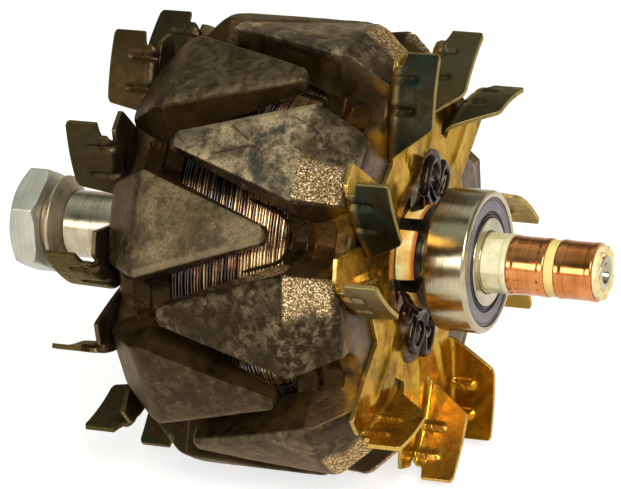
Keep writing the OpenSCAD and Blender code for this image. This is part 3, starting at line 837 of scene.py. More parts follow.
FRONT_BLADES = (13.5, 47.5, 82.5, 110.5, 145.5, 179.5, 213.5, 247.5, 280.5, 316.5, 348.5)
FRONT_BLADE_START = 38.5
rear_free_edge, _, _ = shaft_span("rear_fan")
blade_height = rear_face - rear_free_edge - SHEET / 2
arm_radius = FAN_RADIUS - RELIEF - 0.6


# %% Folded blades
def blade_angle(radius, tip):
    """The angle of a blade's foot at a radius: it falls evenly from the tip inwards."""
    return tip - BLADE_SWEEP * (FAN_RADIUS - radius) / (FAN_RADIUS - BLADE_ROOT)


def corner_round(height, top, size):
    """How far the round of a corner draws an edge in at a height: a quarter circle below the top."""
    return size * (1 - np.sqrt(1 - np.clip((height - top + size) / size, 0, 1) ** 2))


def fan_sheet(face, outward, height, across, up, normal, close_rows=False):
    """A sheet of the fan from its height over the face of the core and its two coordinates there: the
    grid of points, half a thickness up and down along the normal."""
    middle = np.stack(np.broadcast_arrays(-(face + outward * height), -across, up), -1)
    normal = np.stack(np.broadcast_arrays(*normal), -1) * SHEET / 2
    return slab((middle + normal) * MM, (middle - normal) * MM, close_rows)


def blade_profile():
    """The sheet of a blade from its arm to its free edge: its bend, the height of its middle and the way
    along it. In the fold the height is FOLD (1 - cos a) for a bend a from 0 to 90 degrees, and from
    there the sheet stands straight up."""
    fold = np.radians(np.linspace(0, 90, 8))
    up_share = np.linspace(0, 1, 24)[1:]
    bend = np.concatenate([fold, np.full(len(up_share), np.pi / 2)])[:, None]
    share = np.concatenate([np.zeros(len(fold)), up_share])[:, None]
    height = np.where(share > 0, FOLD + share * (blade_height - FOLD), FOLD * (1 - np.cos(bend)))
    path = np.where(share > 0, FOLD * np.pi / 2 + height - FOLD, FOLD * bend)
    return bend, height, path


def blade(tip, start, face, outward):
    """A blade with its masks. Along its foot lies the line of blade_angle, whose normal points to the
    arm, and in the fold the sheet is off that line by FOLD (1 - sin a) for a bend a. The inner end
    slopes from its start to the free edge, and the outer end steps back at the foot. Each dart is a
    rounded ridge across the fold, raised along the sheet's normal."""
    bend, height, path = blade_profile()
    step = smooth_step(height, RELIEF_HEIGHT - RELIEF_RISE, RELIEF_HEIGHT)
    foot_end = arm_radius - FOOT_NOTCH * smooth_step(-height, -FOOT_NOTCH_HEIGHT, 0)
    outer = foot_end + (FAN_RADIUS - foot_end) * step
    outer = outer - corner_round(height, blade_height, OUTER_CORNER)
    inner = start + (BLADE_EDGE - start) * height / blade_height
    inner = inner + corner_round(height, blade_height, INNER_CORNER)
    radius = inner + np.linspace(0, 1, 48) * (outer - inner)
    offset = FOLD * (1 - np.sin(bend)) + 0 * radius
    direction = np.radians(blade_angle(radius, tip))
    foot = np.stack([radius * np.cos(direction), radius * np.sin(direction)])
    lean = np.radians(BLADE_SWEEP) / (FAN_RADIUS - BLADE_ROOT) * radius
    heading = direction + np.arctan(lean)
    normal = np.stack([-np.sin(heading), np.cos(heading)])
    darts = sum(np.exp(-(((radius - p) / DART_WIDTH) ** 2)) for p in DART_PLACES)
    darts = darts * smooth_step(path, *DART_BEGINS) * (1 - smooth_step(path, *DART_ENDS)) * DART_HEIGHT
    tilt = np.sin(bend)
    across, up = foot + normal * (offset + darts * tilt)
    lifted = SHEET / 2 + height + darts * np.cos(bend)
    outwards = (-outward * np.cos(bend), -normal[0] * tilt, normal[1] * tilt)
    shape = fan_sheet(face, outward, lifted, across, up, outwards)
    cut = np.zeros(radius.shape)
    cut[:, [0, -1]] = 1
    cut[-1] = 1
    masks = np.stack([smooth_step(height, 0.3, 3) + 0 * radius, cut, 0 * radius], -1)
    return shape, np.tile(masks.reshape(-1, 3), (2, 1))


# %% Flat stars
def fan_plate(tips, face, outward):
    """The flat star of a fan as a grid of (angle, radius). At each angle the star reaches to the foot
    of a blade, to the end of an arm, along the arm's far edge or to the hub, whichever is furthest.
    The foot runs aslant, so its gap is longer when measured round the shaft. A ridge runs out along
    each arm, and the hub has a raised ring."""
    angle = np.linspace(0, 360, 960, endpoint=False)
    reach = np.full(len(angle), float(FAN_HUB))
    ridge = np.zeros((len(angle), 1))
    foot_gap = (FOLD - FOOT_LAP) * FOOT_SLANT
    for tip in tips:
        past = (angle - tip + 180) % 360 - 180
        r = np.linspace(BLADE_ROOT, arm_radius, 60)
        line = blade_angle(r, tip) - tip + np.degrees(foot_gap / r)
        edge = np.interp(past, line, r, left=0, right=arm_radius)
        far = np.interp(past, [line[-1], ARM_SPAN - 2, ARM_SPAN, ARM_ROOT_SPAN],
                        [arm_radius, arm_radius, BLADE_EDGE + 4, FAN_HUB - 1], right=0)
        reach = np.maximum(reach, np.minimum(edge, far))
        ridge = ridge + np.exp(-(((past + RIDGE_TURN) / RIDGE_SPAN) ** 2))[:, None]
    radius = FAN_HOLE + np.linspace(0, 1, 20) * (reach[:, None] - FAN_HOLE)
    along_arm = smooth_step(radius, *RIDGE_BEGINS) * (1 - smooth_step(radius, *RIDGE_ENDS))
    dish = HUB_DISH * np.exp(-(((radius - DISH_RADIUS) / DISH_WIDTH) ** 2))
    height = SHEET / 2 + ARM_RIDGE * ridge * along_arm + dish
    turn = np.radians(angle)[:, None]
    normal = (-outward + 0 * radius, 0, 0)
    shape = fan_sheet(face, outward, height, radius * np.cos(turn), radius * np.sin(turn), normal, True)
    cut = np.zeros(radius.shape)
    cut[:, -1] = 1
    masks = np.stack([0 * radius, cut, 1 - smooth_step(radius, FAN_HOLE + 0.6, FAN_HOLE + 1.6)], -1)
    return shape, np.tile(masks.reshape(-1, 3), (2, 1))


# %% [markdown]
# ### Passivated sheet
#
# The sheet is zinc plated and then passivated, which leaves a thin film that shows gold, olive and
# here and there pink or green, as oil does on water. The rear fan is bright, and its blades took
# the deepest gold, though the upper ones are darkened with painted shade. The front fan has been
# near heat and oil and is dark brown.


# %% Passivated sheet
def passivated_zinc(name, plate, blades, tarnish_and_shade, bare, roughness):
    """Yellow-passivated zinc on steel: a metal whose colour drifts with the thickness of its film, in
    soft streaks from the dip. Blades go from gold over grey to nearly black by a share that is partly
    tarnished film and partly painted shade, cut edges are bare and bright, and the rim of the hole is
    pink."""
    material, tree, shader, place, masks = start_finish(
        name, ("blade", "cut", "rim", "tarnish_and_shade"), Metallic=0.85, Specular_Tint="#fff0c8")
    film = add_node(tree, "TexNoise", {
        "Vector": place, "Scale": per_metre(9), "Detail": 3, "Roughness": 0.5, "Distortion": 0.7})
    colour = add_node(tree, "ValToRGB", {"Fac": film}, zip((0.34, 0.45, 0.56, 0.68), plate))
    gold = add_node(tree, "ValToRGB", {"Fac": film}, zip((0.36, 0.5, 0.66), blades))
    # Painted shade with some tarnished film: blades go to grey, then nearly black, by their share
    grey_share = add_node(tree, "MapRange", {"Value": masks["tarnish_and_shade"], "From Max": 0.5})
    dark = add_node(tree, "ValToRGB", {"Fac": film}, zip((0.36, 0.62), tarnish_and_shade[1:]))
    darkest_share = add_node(tree, "MapRange", {"Value": masks["tarnish_and_shade"], "From Min": 0.5})
    pink = add_node(tree, "Math", {0: masks["rim"], 1: bare}, operation="MULTIPLY")
    bared = add_node(tree, "Math", {0: masks["cut"], 1: bare}, operation="MULTIPLY")
    dirt = add_node(tree, "TexNoise", {"Vector": place, "Scale": per_metre(2), "Detail": 5})
    dirt_and_shade = add_node(tree, "MapRange", {
        "Value": dirt, "From Min": 0.6, "From Max": 0.76, "To Max": 0.6})
    for share, coat in ((masks["blade"], gold), (grey_share, tarnish_and_shade[0]), (darkest_share, dark),
                        (pink, "#e08fb4"), (bared, "#cdb268"), (dirt_and_shade, "#33250f")):
        colour = add_node(tree, "Mix", {"Factor": share, "A": colour, "B": coat}, data_type="RGBA")
    rough = add_node(tree, "MapRange", {
        "Value": dirt, "From Min": 0.35, "From Max": 0.7, "To Min": roughness, "To Max": roughness + 0.2})
    rough = add_node(tree, "Math", {0: masks["tarnish_and_shade"], 1: 0.25, 2: rough}, operation="MULTIPLY_ADD")
    ripple = add_node(tree, "Bump", {"Height": film, "Distance": 0.2 * MM})
    fill(tree, shader, {"Base Color": colour, "Roughness": rough, "Normal": ripple})
    return material


rear_sheet = passivated_zinc(
    "yellow_passivated_sheet", ("#6a4c12", "#8c6414", "#aa7c1e", "#ba9238"),
    ("#9c680c", "#c88a14", "#ab8c20"), ("#746442", "#291d0e", "#232e24"), 0.4, 0.15)
front_sheet = passivated_zinc(
    "brown_passivated_sheet", ("#2a2117", "#3b2f20", "#48392a", "#3e3c2e"),
    ("#3d2c12", "#4b3a1e", "#303a28"), ("#3a2c16", "#241a0c", "#2c3022"), 0.08, 0.28)
# Per rear blade, partly tarnished film and partly painted shade: the upper blades are darkest
REAR_TARNISH_AND_SHADE = (0.5, 1.0, 1.0, 0.8, 0.92, 0.4, 0.2, 0.0, 0.16, 0.1)
FRONT_TARNISH = (0.4, 0.7, 0.5, 0.8, 0.3, 0.5, 0.2, 0.6, 0.1, 0.7, 0.5)


def fan(name, node, finish, tips, tarnish_and_shade, start, face, outward):
    """A whole fan: its plate and its blades as one piece, with masks for the blades and for how much
    each of them has darkened."""
    made = [fan_plate(tips, face, outward)] + [blade(tip, start, face, outward) for tip in tips]
    masks = dict(zip(("blade", "cut", "rim"), np.concatenate([m for _, m in made]).T))
    masks["tarnish_and_shade"] = np.concatenate([share * m[:, 0] for share, (_, m) in zip((0, *tarnish_and_shade), made)])
    shape = join([s for s, _ in made])
    return piece(name, shape, finish, "rotor", node, masks, bevel=0.18, crease=48)


fan("rear_fan_star", "rear_fan", rear_sheet,
    REAR_BLADES, REAR_TARNISH_AND_SHADE, REAR_BLADE_START, rear_face, -1)
fan("front_fan_star", "front_fan", front_sheet,
    FRONT_BLADES, FRONT_TARNISH, FRONT_BLADE_START, front_face, 1)

# %% [markdown]
# ## The shaft, washer and nut
#
# These are turned and ground steel. A turned piece is its half section carried round the shaft. The
# nut is a hexagon, so its radius changes with the angle, and its outer corners are cut by a cone.


# %% Ground and plated steel
def turned_metal(name, dark, base, roughness, line_mm, metallic=1.0):
    """Turned or ground metal: fine rings round the shaft, a few oily patches and a satin shine. A dull
    film, as on a zinc-plated nut, is a metallic share below 1."""
    material, tree, shader, place, _ = start_finish(name, Metallic=metallic)
    drawn = add_node(tree, "Mapping", {"Vector": place, "Scale": (1, 0.02, 0.02)})
    rings = add_node(tree, "TexNoise", {"Vector": drawn, "Scale": per_metre(line_mm), "Detail": 2})
    patches = add_node(tree, "TexNoise", {"Vector": place, "Scale": per_metre(8), "Detail": 4})
    tone = add_node(tree, "Mix", {"Factor": 0.3, "A": patches, "B": rings})
    colour = add_node(tree, "ValToRGB", {"Fac": tone}, ((0.36, dark), (0.58, base)))
    rough = add_node(tree, "MapRange", {
        "Value": patches, **NOISE_SPAN, "To Min": roughness, "To Max": roughness + 0.14})
    lines = add_node(tree, "Bump", {"Height": rings, "Distance": 0.015 * MM})
    fill(tree, shader, {"Base Color": colour, "Roughness": rough, "Normal": lines})
    return material


shaft_steel = turned_metal("ground_shaft_steel", "#8c826c", "#c0b598", 0.14, 0.4)
bearing_steel = turned_metal("polished_bearing_steel", "#93876b", "#bdb092", 0.15, 0.35)
washer_steel = turned_metal("turned_washer_steel", "#857759", "#b0a081", 0.26, 0.5, 0.6)
zinc_steel = turned_metal("zinc_plated_nut_steel", "#a4a294", "#c0bcaa", 0.26, 0.8, 0.6)

# %% Shaft
shaft_start, shaft_end, _ = shaft_span("shaft")
washer_start, nut_start, washer_radius = shaft_span("nut_washer")
_, nut_end, _ = shaft_span("pulley_nut")
_, bearing_face, bearing_radius = shaft_span("bearing_outer_ring")
JOURNAL = 8.5
CORE_SEAT = 8.95
BEARING_SEAT = 7.45
THREAD = 7.5
THREAD_CHAMFER = 1.1
TAIL = 4.2
CENTRE_DEPTH = 8.3
CENTRE_DRILL = 1.04
CENTRE_CONE = 3.6
CENTRE_MOUTH = 2.6
FIT_GAP = 0.05
shaft_shape = turned([
    [shaft_start + CENTRE_DEPTH, 0], [shaft_start + CENTRE_DEPTH, CENTRE_DRILL],
    [shaft_start + CENTRE_CONE, CENTRE_DRILL], [shaft_start, CENTRE_MOUTH],
    [shaft_start, TAIL], [-bearing_face, TAIL], [-bearing_face, BEARING_SEAT],
    [bearing_face, BEARING_SEAT], [bearing_face, CORE_SEAT], [front_face, CORE_SEAT],
    [front_face, JOURNAL], [washer_start, JOURNAL], [washer_start, THREAD],
    [shaft_end - THREAD_CHAMFER, THREAD], [shaft_end, THREAD - THREAD_CHAMFER], [shaft_end, 0],
], 0.25)
piece("ground_shaft", shaft_shape, shaft_steel, "rotor", "shaft")

# %% Washer with its cone and rim
WASHER_RIM = washer_start + 2.7
WASHER_SEAT = WASHER_RIM + 0.9
WASHER_GROOVE = 9.2
washer_shape = turned([
    [washer_start, THREAD + FIT_GAP], [washer_start, JOURNAL + 0.3], [WASHER_RIM, washer_radius],
    [WASHER_SEAT, washer_radius], [WASHER_SEAT, WASHER_GROOVE], [nut_start, WASHER_GROOVE],
    [nut_start, THREAD + FIT_GAP],
], 0.35)
piece("coned_washer", washer_shape, washer_steel, "rotor", "nut_washer")

# %% Nut
NUT_FLATS = 24
NUT_CORNER_ANGLE = 29.5
NUT_CONE = math.tan(math.radians(30))
NUT_BLEND = 0.5
BORE_CHAMFER = 0.7


def nut_shape():
    """A hexagon whose radius at an angle a from the middle of a flat is half the flats over cos a.
    Each end is cut by a cone from just inside the flats, and the two meet in a soft edge."""
    angle = np.linspace(0, 360, 240, endpoint=False)[:, None]
    from_flat = np.radians((angle - NUT_CORNER_ANGLE) % 60 - 30)
    hexagon = NUT_FLATS / 2 / np.cos(from_flat)
    share = np.concatenate([np.linspace(0, 0.35, 16), np.linspace(0.4, 0.6, 3), np.linspace(0.65, 1, 16)])
    along = nut_start + 0.02 + share * (nut_end - nut_start - 0.02)
    cone_outer = NUT_FLATS / 2 - 0.3 + (nut_end - along) / NUT_CONE
    cone_inner = NUT_FLATS / 2 + 0.4 + (along - nut_start) / NUT_CONE
    radius = smooth_min(smooth_min(hexagon, cone_outer, NUT_BLEND), cone_inner, NUT_BLEND)
    bore = np.full((len(angle), 1), THREAD + FIT_GAP)
    mouth = bore + BORE_CHAMFER
    radii = np.concatenate([mouth, radius, mouth, bore, bore], 1)
    inside = [along[-1] - BORE_CHAMFER, along[0] + BORE_CHAMFER]
    places = np.concatenate([[along[0]], along, [along[-1]], inside])
    points = on_shaft(places, radii, angle).reshape(-1, 3)
    return points, grid_quads(len(angle), len(places), True, True)


piece("hexagon_nut", nut_shape(), zinc_steel, "rotor", "pulley_nut", crease=30)

# %% [markdown]
# ## The bearing
#
# The outer ring and both seals turn with the housing, so they ride on the other body. The rim has a
# round chamfer, the seal sits back between the rings with a dark lip, and the inner ring shows as
# a bright band round the shaft.


# %% Seal rubber
def moulded_rubber():
    """Nitrile rubber on a steel washer: blue-grey, satin, and black in the groove along its lip."""
    material, tree, shader, place, masks = start_finish(
        "seal_rubber_moulded", ("groove",), Specular_IOR_Level=0.4)
    dust = add_node(tree, "TexNoise", {"Vector": place, "Scale": per_metre(3), "Detail": 4})
    colour = add_node(tree, "ValToRGB", {"Fac": dust}, ((0.36, "#665f60"), (0.66, "#887f80")))
    colour = add_node(tree, "Mix", {"Factor": masks["groove"], "A": colour, "B": "#17161a"},
                      data_type="RGBA")
    rough = add_node(tree, "MapRange", {"Value": dust, **NOISE_SPAN, "To Min": 0.36, "To Max": 0.54})
    grain = add_node(tree, "Bump", {"Height": dust, "Distance": 0.05 * MM})
    fill(tree, shader, {"Base Color": colour, "Roughness": rough, "Normal": grain})
    return material


seal_finish = moulded_rubber()

# %% Rings
seal_near, seal_far, seal_radius = shaft_span("bearing_front_seal")
_, _, inner_ring_radius = shaft_span("bearing_inner_ring")
RACE_RADIUS = seal_radius + 1.0
CHAMFER = 0.65


def ring_section(inner, outer, inner_chamfer, outer_chamfer):
    """The section of a bearing ring: a rectangle over the bearing's width with all corners cut."""
    ends = [-bearing_face, -bearing_face, -bearing_face + outer_chamfer, bearing_face - outer_chamfer,
            bearing_face, bearing_face, bearing_face - inner_chamfer, -bearing_face + inner_chamfer]
    radii = [inner + inner_chamfer, outer - outer_chamfer, outer, outer,
             outer - outer_chamfer, inner + inner_chamfer, inner, inner]
    return np.stack([ends, radii], -1)


piece("bearing_outer_race", turned(ring_section(RACE_RADIUS, bearing_radius, 0.25, CHAMFER), 0.4, turns=192),
      bearing_steel, "bearing_outer", "bearing_outer_ring")
piece("bearing_inner_race", turned(ring_section(BEARING_SEAT + FIT_GAP, inner_ring_radius, 0.5, 0.25), 0.2),
      bearing_steel, "rotor", "bearing_inner_ring")


# %% Seals
def seal(name, node, face, inward):
    """A seal from its outer face inwards: a rim, a flat web, a deep groove and a lip at the bore."""
    outer = RACE_RADIUS - FIT_GAP
    lip = inner_ring_radius + 0.08
    deep = seal_far - seal_near
    shape = turned([[face + inward * d, r] for d, r in (
        (0.15, outer), (0.0, outer - 0.35), (0.3, outer - 0.6), (0.05, outer - 0.85), (0.05, lip + 1.5),
        (0.6, lip + 1.2), (0.6, lip + 0.7), (0.1, lip + 0.45), (0.25, lip), (deep, lip), (deep, outer))], 0.1)
    points = shape[0]
    sunk = inward * (-points[:, 0] / MM - face)
    radius = np.hypot(points[:, 1], points[:, 2]) / MM
    groove = smooth_step(sunk, 0.15, 0.3) + (radius < lip + 0.75) * 0.8
    return piece(name, shape, seal_finish, "bearing_outer", node,
                 {"groove": np.minimum(groove, 1)})


seal("rear_seal_disc", "bearing_rear_seal", -seal_far, 1)
seal("front_seal_disc", "bearing_front_seal", seal_far, -1)

# %% [markdown]
# ## The slip rings
#
# Two copper rings are moulded into a cream plastic sleeve. The brushes have polished bright tracks
# into the copper. The end of the moulding was broken from its runner and left rough.


# %% Copper and cream plastic
def cream_moulding(name, deep, pale, dirt, stain_and_shade):
    """Glass-filled polyester moulding: cream, slightly see-through, with brown dust in its pits. Two
    masks mark where it is stained and where it is black, and on the collar both are partly painted
    shade."""
    material, tree, shader, place, masks = start_finish(
        name, ("stain_and_shade", "resin_and_shade"), Subsurface_Weight=0.1, Subsurface_Radius=(0.001, 0.0007, 0.0004))
    cloud = add_node(tree, "TexNoise", {"Vector": place, "Scale": per_metre(5), "Detail": 4})
    pits = add_node(tree, "TexNoise", {
        "Vector": place, "Scale": per_metre(1), "Detail": 4, "Roughness": 0.65})
    colour = add_node(tree, "ValToRGB", {"Fac": cloud}, ((0.36, deep), (0.66, pale)))
    specks = add_node(tree, "MapRange", {"Value": pits, "From Min": 0.6, "From Max": 0.72, "To Max": 0.7})
    for share, coat in ((specks, dirt), (masks["stain_and_shade"], stain_and_shade), (masks["resin_and_shade"], "#140c07")):
        colour = add_node(tree, "Mix", {"Factor": share, "A": colour, "B": coat}, data_type="RGBA")
    rough = add_node(tree, "MapRange", {"Value": cloud, **NOISE_SPAN, "To Min": 0.3, "To Max": 0.5})
    grain = add_node(tree, "Bump", {"Height": pits, "Distance": 0.1 * MM})
    fill(tree, shader, {"Base Color": colour, "Roughness": rough, "Normal": grain})
    return material


copper = turned_metal("brush_polished_copper", "#a85f2b", "#cf8a52", 0.1, 0.9)
cream = cream_moulding("cream_polyester_moulding", "#d9cb95", "#f3ecc8", "#a98a4c", "#ecd07e")

# %% Moulding and rings
inner_end, inner_start, ring_radius = shaft_span("inner_slip_ring")
outer_end, outer_start, _ = shaft_span("outer_slip_ring")
mould_end, mould_start, mould_radius = shaft_span("slip_ring_moulding")
SPACER = 6.9
SLEEVE_RIM = 1.3
SLEEVE_FLATS = 10
MOULD_END_RADIUS = 6.6
RING_SEAT = ring_radius - 1.35
SLEEVE_STEP = 0.15
mould_bore = TAIL + FIT_GAP
mould_steps = [outer_end - FIT_GAP, outer_start + FIT_GAP, inner_end - FIT_GAP, inner_start + FIT_GAP]
mould_points, mould_quads = turned([
    [mould_end, mould_bore], [mould_end, MOULD_END_RADIUS], [mould_steps[0], MOULD_END_RADIUS],
    [mould_steps[0], RING_SEAT], [mould_steps[1], RING_SEAT], [mould_steps[1], SPACER],
    [mould_steps[2], SPACER], [mould_steps[2], RING_SEAT], [mould_steps[3], RING_SEAT],
    [mould_steps[3], mould_radius], [inner_start + SLEEVE_RIM, mould_radius],
    [inner_start + SLEEVE_RIM + 0.1, mould_radius - SLEEVE_STEP],
    [mould_start - FIT_GAP, mould_radius - SLEEVE_STEP], [mould_start - FIT_GAP, mould_bore],
], 0.12)
mould_along = -mould_points[:, 0] / MM
# Between two corners a flat lies inside the circle by the cosine of the angle from its middle
flat_step = 2 * np.pi / SLEEVE_FLATS
from_flat = np.arctan2(mould_points[:, 2], mould_points[:, 1]) % flat_step - flat_step / 2
on_flat = mould_along > inner_start + SLEEVE_RIM + 0.05
on_flat = on_flat * (np.hypot(*mould_points[:, 1:].T) > 1.2 * TAIL * MM)
mould_points[:, 1:] *= np.where(on_flat, math.cos(flat_step / 2) / np.cos(from_flat), 1)[:, None]
broken = 1 - smooth_step(mould_along, mould_end, mould_end + 1.2)
mould_points[:, 0] -= np.abs(lumps(mould_points, 2.4, 21)) * 0.6 * broken * MM
on_spacer = smooth_step(mould_along, outer_start - 0.2, outer_start) * (
    1 - smooth_step(mould_along, inner_end, inner_end + 0.2))
piece("moulded_sleeve", (mould_points, mould_quads), cream, "rotor",
      "slip_ring_moulding", {"stain_and_shade": np.maximum(on_spacer, 0.6 * broken), "resin_and_shade": 0 * on_spacer}, crease=15)


BRUSH_WEAR = 0.1
BRUSH_MARGIN = 1.3
WEAR_SLOPE = 0.6


def slip_ring(name, node, start, end):
    """A slip ring: a sleeve whose outside is worn down between two margins where a brush runs."""
    worn = ring_radius - BRUSH_WEAR
    near, far = end + BRUSH_MARGIN, start - BRUSH_MARGIN
    shape = turned([
        [end, RING_SEAT + FIT_GAP], [end, ring_radius], [near, ring_radius], [near + WEAR_SLOPE, worn],
        [far - WEAR_SLOPE, worn], [far, ring_radius], [start, ring_radius], [start, RING_SEAT + FIT_GAP],
    ], 0.35)
    return piece(name, shape, copper, "rotor", node)


slip_ring("inner_copper_ring", "inner_slip_ring", inner_start, inner_end)
slip_ring("outer_copper_ring", "outer_slip_ring", outer_start, outer_end)

# %% [markdown]
# ## The terminal collar and the leads
#
# Behind the bearing a slotted collar guides the two ends of the winding to the slip rings. Each end
# is looped, soldered and buried in black resin, which set in glossy drips round the collar.

# %% Collar
collar_start, collar_end, collar_radius = shaft_span("terminal_collar")
COLLAR_SLOTS = (55.5, 164.5, 235.5, 344.5)
SLOT_WIDTH = 3.6
SLOT_DEPTH = 3.9
collar_finish = cream_moulding("amber_polyester_moulding", "#e8b040", "#fbe6a0", "#b0702a", "#b8600c")


def collar():
    """A ring with slots: its outer end steps back by the slot's depth where the arc length from the
    middle of a slot is under half a slot. The slots and the end are black, partly resin and partly
    painted shade, and the edge by the bearing is orange, partly stain and partly painted shade."""
    angle = np.linspace(0, 360, 480, endpoint=False)
    apart = [np.abs((angle - a + 180) % 360 - 180) for a in COLLAR_SLOTS]
    arc = np.radians(np.min(apart, 0)) * collar_radius
    slot = (1 - smooth_step(arc, SLOT_WIDTH / 2 - 0.12, SLOT_WIDTH / 2 + 0.12))[:, None]
    section = rounded([[0, CORE_BORE], [0, collar_radius], [1, collar_radius], [1, CORE_BORE]],
                      np.array([0.08, 0.1, 0.02, 0.02]), steps=4, fill=4)
    along = collar_start + SLOT_DEPTH * slot
    along = along + section[:, 0] * (collar_end - along)
    points = on_shaft(along, section[:, 1] + 0 * along, angle[:, None]).reshape(-1, 3)
    # Partly stain and partly painted shade: the orange strip at the end by the bearing
    stain_and_shade = 1 - smooth_step(along, collar_start + 0.5, collar_start + 1.1)
    end = section[:, 0] < 0.01
    # Partly resin and partly painted shade: black in the slots and on the end face
    masks = {"stain_and_shade": stain_and_shade, "resin_and_shade": np.maximum(slot, end + 0 * along)}
    shape = points, grid_quads(len(angle), len(section), True, True)
    return piece("slotted_collar", shape, collar_finish, "rotor", "terminal_collar",
                 masks, crease=50)


collar()

# %% Resin over the looped leads
UPPER_LEAD_ANGLE = REAR_CLAW_ANGLE + 1.5 * CLAW_STEP
LOWER_LEAD_ANGLE = UPPER_LEAD_ANGLE + 180
RESIN_SPAN = (-39, 46)
RESIN_INNER = collar_radius + FIT_GAP
RESIN_REACH = 4.5
RESIN_BULGE = 8.5
RESIN_HEIGHT = 2.0
LOOP_ROUND = 1.25
LOOPS = (
    ((15.0, -22, 1.0), (18.5, -22, 1.5), (22.6, -15, 1.6), (23.6, -8, 1.5), (20.5, -3, 1.9), (15.5, -2, 1.0)),
    ((15.5, 3, 1.0), (19.0, 2, 1.8), (23.0, 8, 1.6), (22.0, 17, 1.5), (18.5, 19, 1.5), (15.0, 19, 1.0)),
    ((15.5, 27, 0.9), (18.6, 30, 1.3), (18.4, 36, 1.1), (15.2, 38, 0.9)),
)
resin_finish = varnished_plastic("black_cured_resin", "#0d0706", "#211311", "#6f665a", 0.08, 0.2, 0.1)


def resin(name, node, lead_angle):
    """Two wire loops and a drip under resin, and the pool that they lie in, on the plate of the fan.
    The pool reaches out from the collar and bulges where the lead comes in. Its crown falls with the
    cube of the share outwards, and a pale film marks its outer edge."""
    seat = rear_face - SHEET - 0.6
    off = np.linspace(*RESIN_SPAN, 96)[:, None]
    share = np.linspace(0, 1, 40)
    reach = RESIN_REACH + RESIN_BULGE * np.exp(-(((off - 1) / 20) ** 2)) + 0.5 * np.sin(off * 0.35)
    ends = smooth_step(off, RESIN_SPAN[0], RESIN_SPAN[0] + 9) * (
        1 - smooth_step(off, RESIN_SPAN[1] - 9, RESIN_SPAN[1]))
    radius = RESIN_INNER + share * reach * (0.4 + 0.6 * ends)
    flat = on_shaft(seat, radius, lead_angle + off)
    crown = np.sqrt(np.maximum(1 - share**3, 0)) * np.sqrt(ends)
    height = crown * (RESIN_HEIGHT + 1.1 * smooth_step(radius, 17, 20) + 0.4 * lumps(flat, 4, 31)) - 0.3
    pool = slab(on_shaft(seat - height, radius, lead_angle + off),
                on_shaft(seat + 0.8, radius, lead_angle + off))
    film = np.tile((smooth_step(share, 0.8, 0.96) + 0 * radius).ravel(), 2)
    shapes = [pool]
    for loop in LOOPS:
        r, t, lift = np.array(loop, float).T
        path = curve_through(on_shaft(seat - lift, r, lead_angle + t))
        shapes.append(tube(path, LOOP_ROUND, (1, 0, 0)))
    bare = sum(len(points) for points, _ in shapes[1:])
    return piece(name, join(shapes), resin_finish, "rotor", node,
                 {"amber": np.append(film, np.zeros(bare))})


resin("upper_resin_drips", "upper_lead_resin", UPPER_LEAD_ANGLE)
resin("lower_resin_drips", "lower_lead_resin", LOWER_LEAD_ANGLE)

# %% [markdown]
# ## Nodes that stay
#
# The leads lie in grooves under the rear fan and the balls hide behind the seals. Their CAD shapes are
# right as they are, and they only need their finish.

# %% Finishes of the nodes that stay
for node, finish in {
    "upper_field_lead": lead_finish,
    "lower_field_lead": lead_finish,
    "bearing_balls": bearing_steel,
}.items():
    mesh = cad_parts[node].data
    mesh.materials.clear()
    mesh.materials.append(finish)
print("finished as they are: two leads and the balls")

# %% [markdown]
# ## Floor, light and room
#
# The rotor lies on a pale floor that fills the picture. One big soft light stands to the right, in
# front and above, and a weak one to the left draws a gleam along every round piece. The room is
# bright in a low band all round and overhead, most of all just behind overhead, and dark between, so
# that polished metal shows bands of light and dark. The floor glows where a camera or a shiny piece
# looks at it, which makes it white and still leaves the soft shadow.

# %% Floor
FLOOR_SIZE = 6.0
FLOOR_GLOW = 0.72
floor_mesh = bpy.data.meshes.new("floor")
ends = np.array([-0.5, 0.5]) * FLOOR_SIZE
floor_corners = [(ends[i], ends[j], cad_low.z) for i, j in ((0, 0), (1, 0), (1, 1), (0, 1))]
floor_mesh.from_pydata(floor_corners, [], [(0, 1, 2, 3)])
floor = bpy.data.objects.new("floor", floor_mesh)
bpy.context.scene.collection.objects.link(floor)

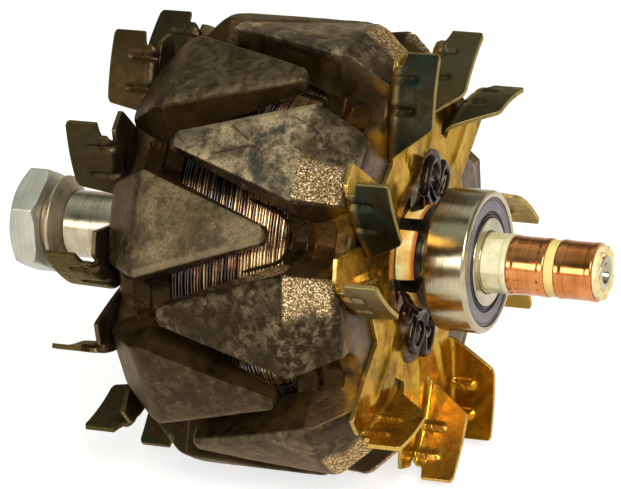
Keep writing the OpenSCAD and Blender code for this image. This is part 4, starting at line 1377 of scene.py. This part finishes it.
floor_paint = bpy.data.materials.new("pale_floor")
floor_paint.use_nodes = True
tree = floor_paint.node_tree
tree.nodes.clear()
rays = add_node(tree, "LightPath").outputs
seen = add_node(tree, "Math", {0: rays["Is Camera Ray"], 1: rays["Is Glossy Ray"]}, operation="MAXIMUM")
seen = add_node(tree, "Math", {0: seen, 1: rays["Is Transmission Ray"]}, operation="MAXIMUM")
glow = add_node(tree, "Math", {0: seen, 1: FLOOR_GLOW}, operation="MULTIPLY")
lit = add_node(tree, "BsdfDiffuse", {"Color": "#c9c7c3"})
shine = add_node(tree, "Emission", {"Color": "#ffffff", "Strength": glow})
both = add_node(tree, "AddShader", {0: lit, 1: shine})
add_node(tree, "OutputMaterial", {"Surface": both})
floor_mesh.materials.append(floor_paint)


# %% Soft lights
def soft_light(name, place, wide, high, power):
    """A soft light at a place, with its size in metres, aimed at the middle of the rotor."""
    data = bpy.data.lights.new(name, "AREA")
    data.shape = "RECTANGLE"
    data.size = wide
    data.size_y = high
    data.energy = power
    made = bpy.data.objects.new(name, data)
    made.location = place
    made.rotation_mode = "QUATERNION"
    made.rotation_quaternion = ((cad_low + cad_high) / 2 - Vector(place)).to_track_quat("-Z", "Y")
    bpy.context.scene.collection.objects.link(made)
    print(f"{name}: {power} W, {wide} x {high} m")


soft_light("key_light", (0.7, -0.95, 0.9), 0.7, 0.7, 21)
soft_light("gleam_light", (-0.525, -1.28, 0.4), 0.38, 0.46, 4.6)

# %% Room
room = bpy.data.worlds.new("room")
room.use_nodes = True
tree = room.node_tree
tree.nodes.clear()
toward = add_node(tree, "TexCoord").outputs["Generated"]
toward = add_node(tree, "SeparateXYZ", {"Vector": toward}).outputs
behind = add_node(tree, "MapRange", {"Value": toward["Y"], "From Min": -0.2, "From Max": 0.3})
front = add_node(tree, "ValToRGB", {"Fac": toward["Z"]}, (
    (0.1, "#ece6da"), (0.32, "#595650"), (0.6, "#555857"), (0.85, "#b3c0b9")))
back = add_node(tree, "ValToRGB", {"Fac": toward["Z"]}, (
    (0.25, "#dcd8ce"), (0.6, "#595750"), (0.84, "#a9b5ae"), (0.9, "#f2f6f2")))
level = add_node(tree, "Mix", {"Factor": behind, "A": front, "B": back}, data_type="RGBA")
light = add_node(tree, "Background", {"Color": level})
add_node(tree, "OutputWorld", {"Surface": light})
bpy.context.scene.world = room
bpy.context.scene.view_settings.view_transform = "Standard"
